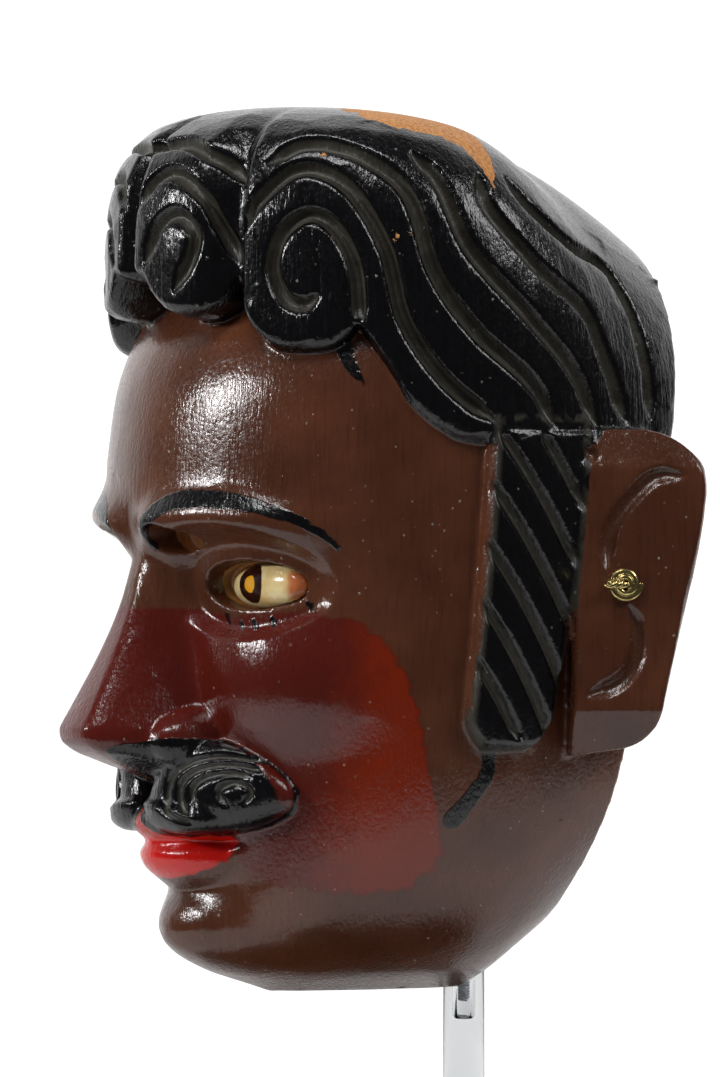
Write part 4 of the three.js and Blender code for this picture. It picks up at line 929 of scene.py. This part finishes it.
top, outside, bore = ROD_SEAT_Z - CLEAR, ROD_DIAMETER / 2, THREAD_DIAMETER / 2 + CLEAR
foot_end = top - ROD_LENGTH - FOOT_HOLE
rod = lathe("stand_rod_acrylic", [
    (0.05, foot_end), (outside - 0.5, foot_end), (outside - 0.15, foot_end + 0.15), (outside, foot_end + 0.5),
    (outside, top - 0.5), (outside - 0.15, top - 0.15), (outside - 0.5, top), (bore + 0.25, top), (bore, top - 0.25),
    (bore, top - STUD_HOLE + 0.7), (bore - 0.5, top - STUD_HOLE), (0.05, top - STUD_HOLE - 0.3),
])
settled(rod.data, read_points(rod.data), 40)
rod.data.materials.append(acrylic)
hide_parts("stand_rod")
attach(rod, "root")
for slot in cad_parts["stand_foot"].material_slots:
    slot.material = acrylic


# The studio: a pale floor, a bright sweep behind, and soft boxes in front, above and to the right.
CAMERA_TURN, CAMERA_DISTANCE, CAMERA_TARGET, CAMERA_LENS = math.radians(61), 2.2, (-0.0133, 0.0060, 0.2151), 278.0
BOARD_REACH, BOARD_PUSHED_BACK = 450, 170
camera = bpy.data.objects.new("camera", bpy.data.cameras.new("camera"))
bpy.context.scene.collection.objects.link(camera)
camera.data.lens = CAMERA_LENS
camera.data.clip_start = 0.05
camera.location = (CAMERA_TARGET[0] + CAMERA_DISTANCE * math.sin(CAMERA_TURN),
                   CAMERA_TARGET[1] - CAMERA_DISTANCE * math.cos(CAMERA_TURN), CAMERA_TARGET[2])
camera.rotation_euler = (math.pi / 2, 0, CAMERA_TURN)
bpy.context.scene.camera = camera
bpy.context.scene.view_settings.view_transform = "Standard"
for name, azimuth, elevation, distance, wide, tall, power in (
        ("key", -8, 20, 1.4, 0.2, 0.2, 10), ("over", 40, 55, 1.3, 0.45, 0.3, 7.5),
        ("right", 120, 35, 1.5, 0.5, 0.5, 8)):
    lamp = bpy.data.objects.new(name, bpy.data.lights.new(name, "AREA"))
    bpy.context.scene.collection.objects.link(lamp)
    lamp.data.shape, lamp.data.size, lamp.data.size_y, lamp.data.energy = "RECTANGLE", wide, tall, power
    a, e = math.radians(azimuth), math.radians(elevation)
    lamp.location = (distance * math.cos(e) * math.sin(a), -distance * math.cos(e) * math.cos(a),
                     0.2 + distance * math.sin(e))
    lamp.rotation_euler = (math.pi / 2 - e, 0, a)

world = bpy.data.worlds.new("room")
bpy.context.scene.world = world
world.use_nodes = True
t = world.node_tree
look = node(t, "ShaderNodeTexCoord").outputs["Generated"]
away = (-math.sin(CAMERA_TURN), math.cos(CAMERA_TURN), 0.0)
facing = node(t, "ShaderNodeVectorMath", {0: look, 1: away}, operation="DOT_PRODUCT").outputs["Value"]
sweep = node(t, "ShaderNodeMapRange", {0: facing, 1: 0.15, 2: 0.65, 3: 0.06, 4: 1.2}).outputs[0]
seen = node(t, "ShaderNodeLightPath").outputs["Is Camera Ray"]
t.links.new(node(t, "ShaderNodeMath", {0: sweep, 1: seen}, operation="MAXIMUM").outputs[0],
            t.nodes["Background"].inputs["Strength"])
t.nodes["Background"].inputs["Color"].default_value = (1, 1, 1, 1)

board = lathe("floor", [(0.05, -4), (BOARD_REACH, -4), (BOARD_REACH, 0), (0.05, 0)])
pushed = np.array([-math.sin(CAMERA_TURN), math.cos(CAMERA_TURN), 0]) * BOARD_PUSHED_BACK
board.data.vertices.foreach_set("co", ((read_points(board.data) + pushed) / 1000).ravel())
board.data.update()
# Matt white board spreads the light evenly, with no shine.
pale, t, shader = finish("matt_white_board")
shader.inputs["Base Color"].default_value = colour("#f2f2f2")
shader.inputs["Roughness"].default_value = 0.7
board.data.materials.append(pale)
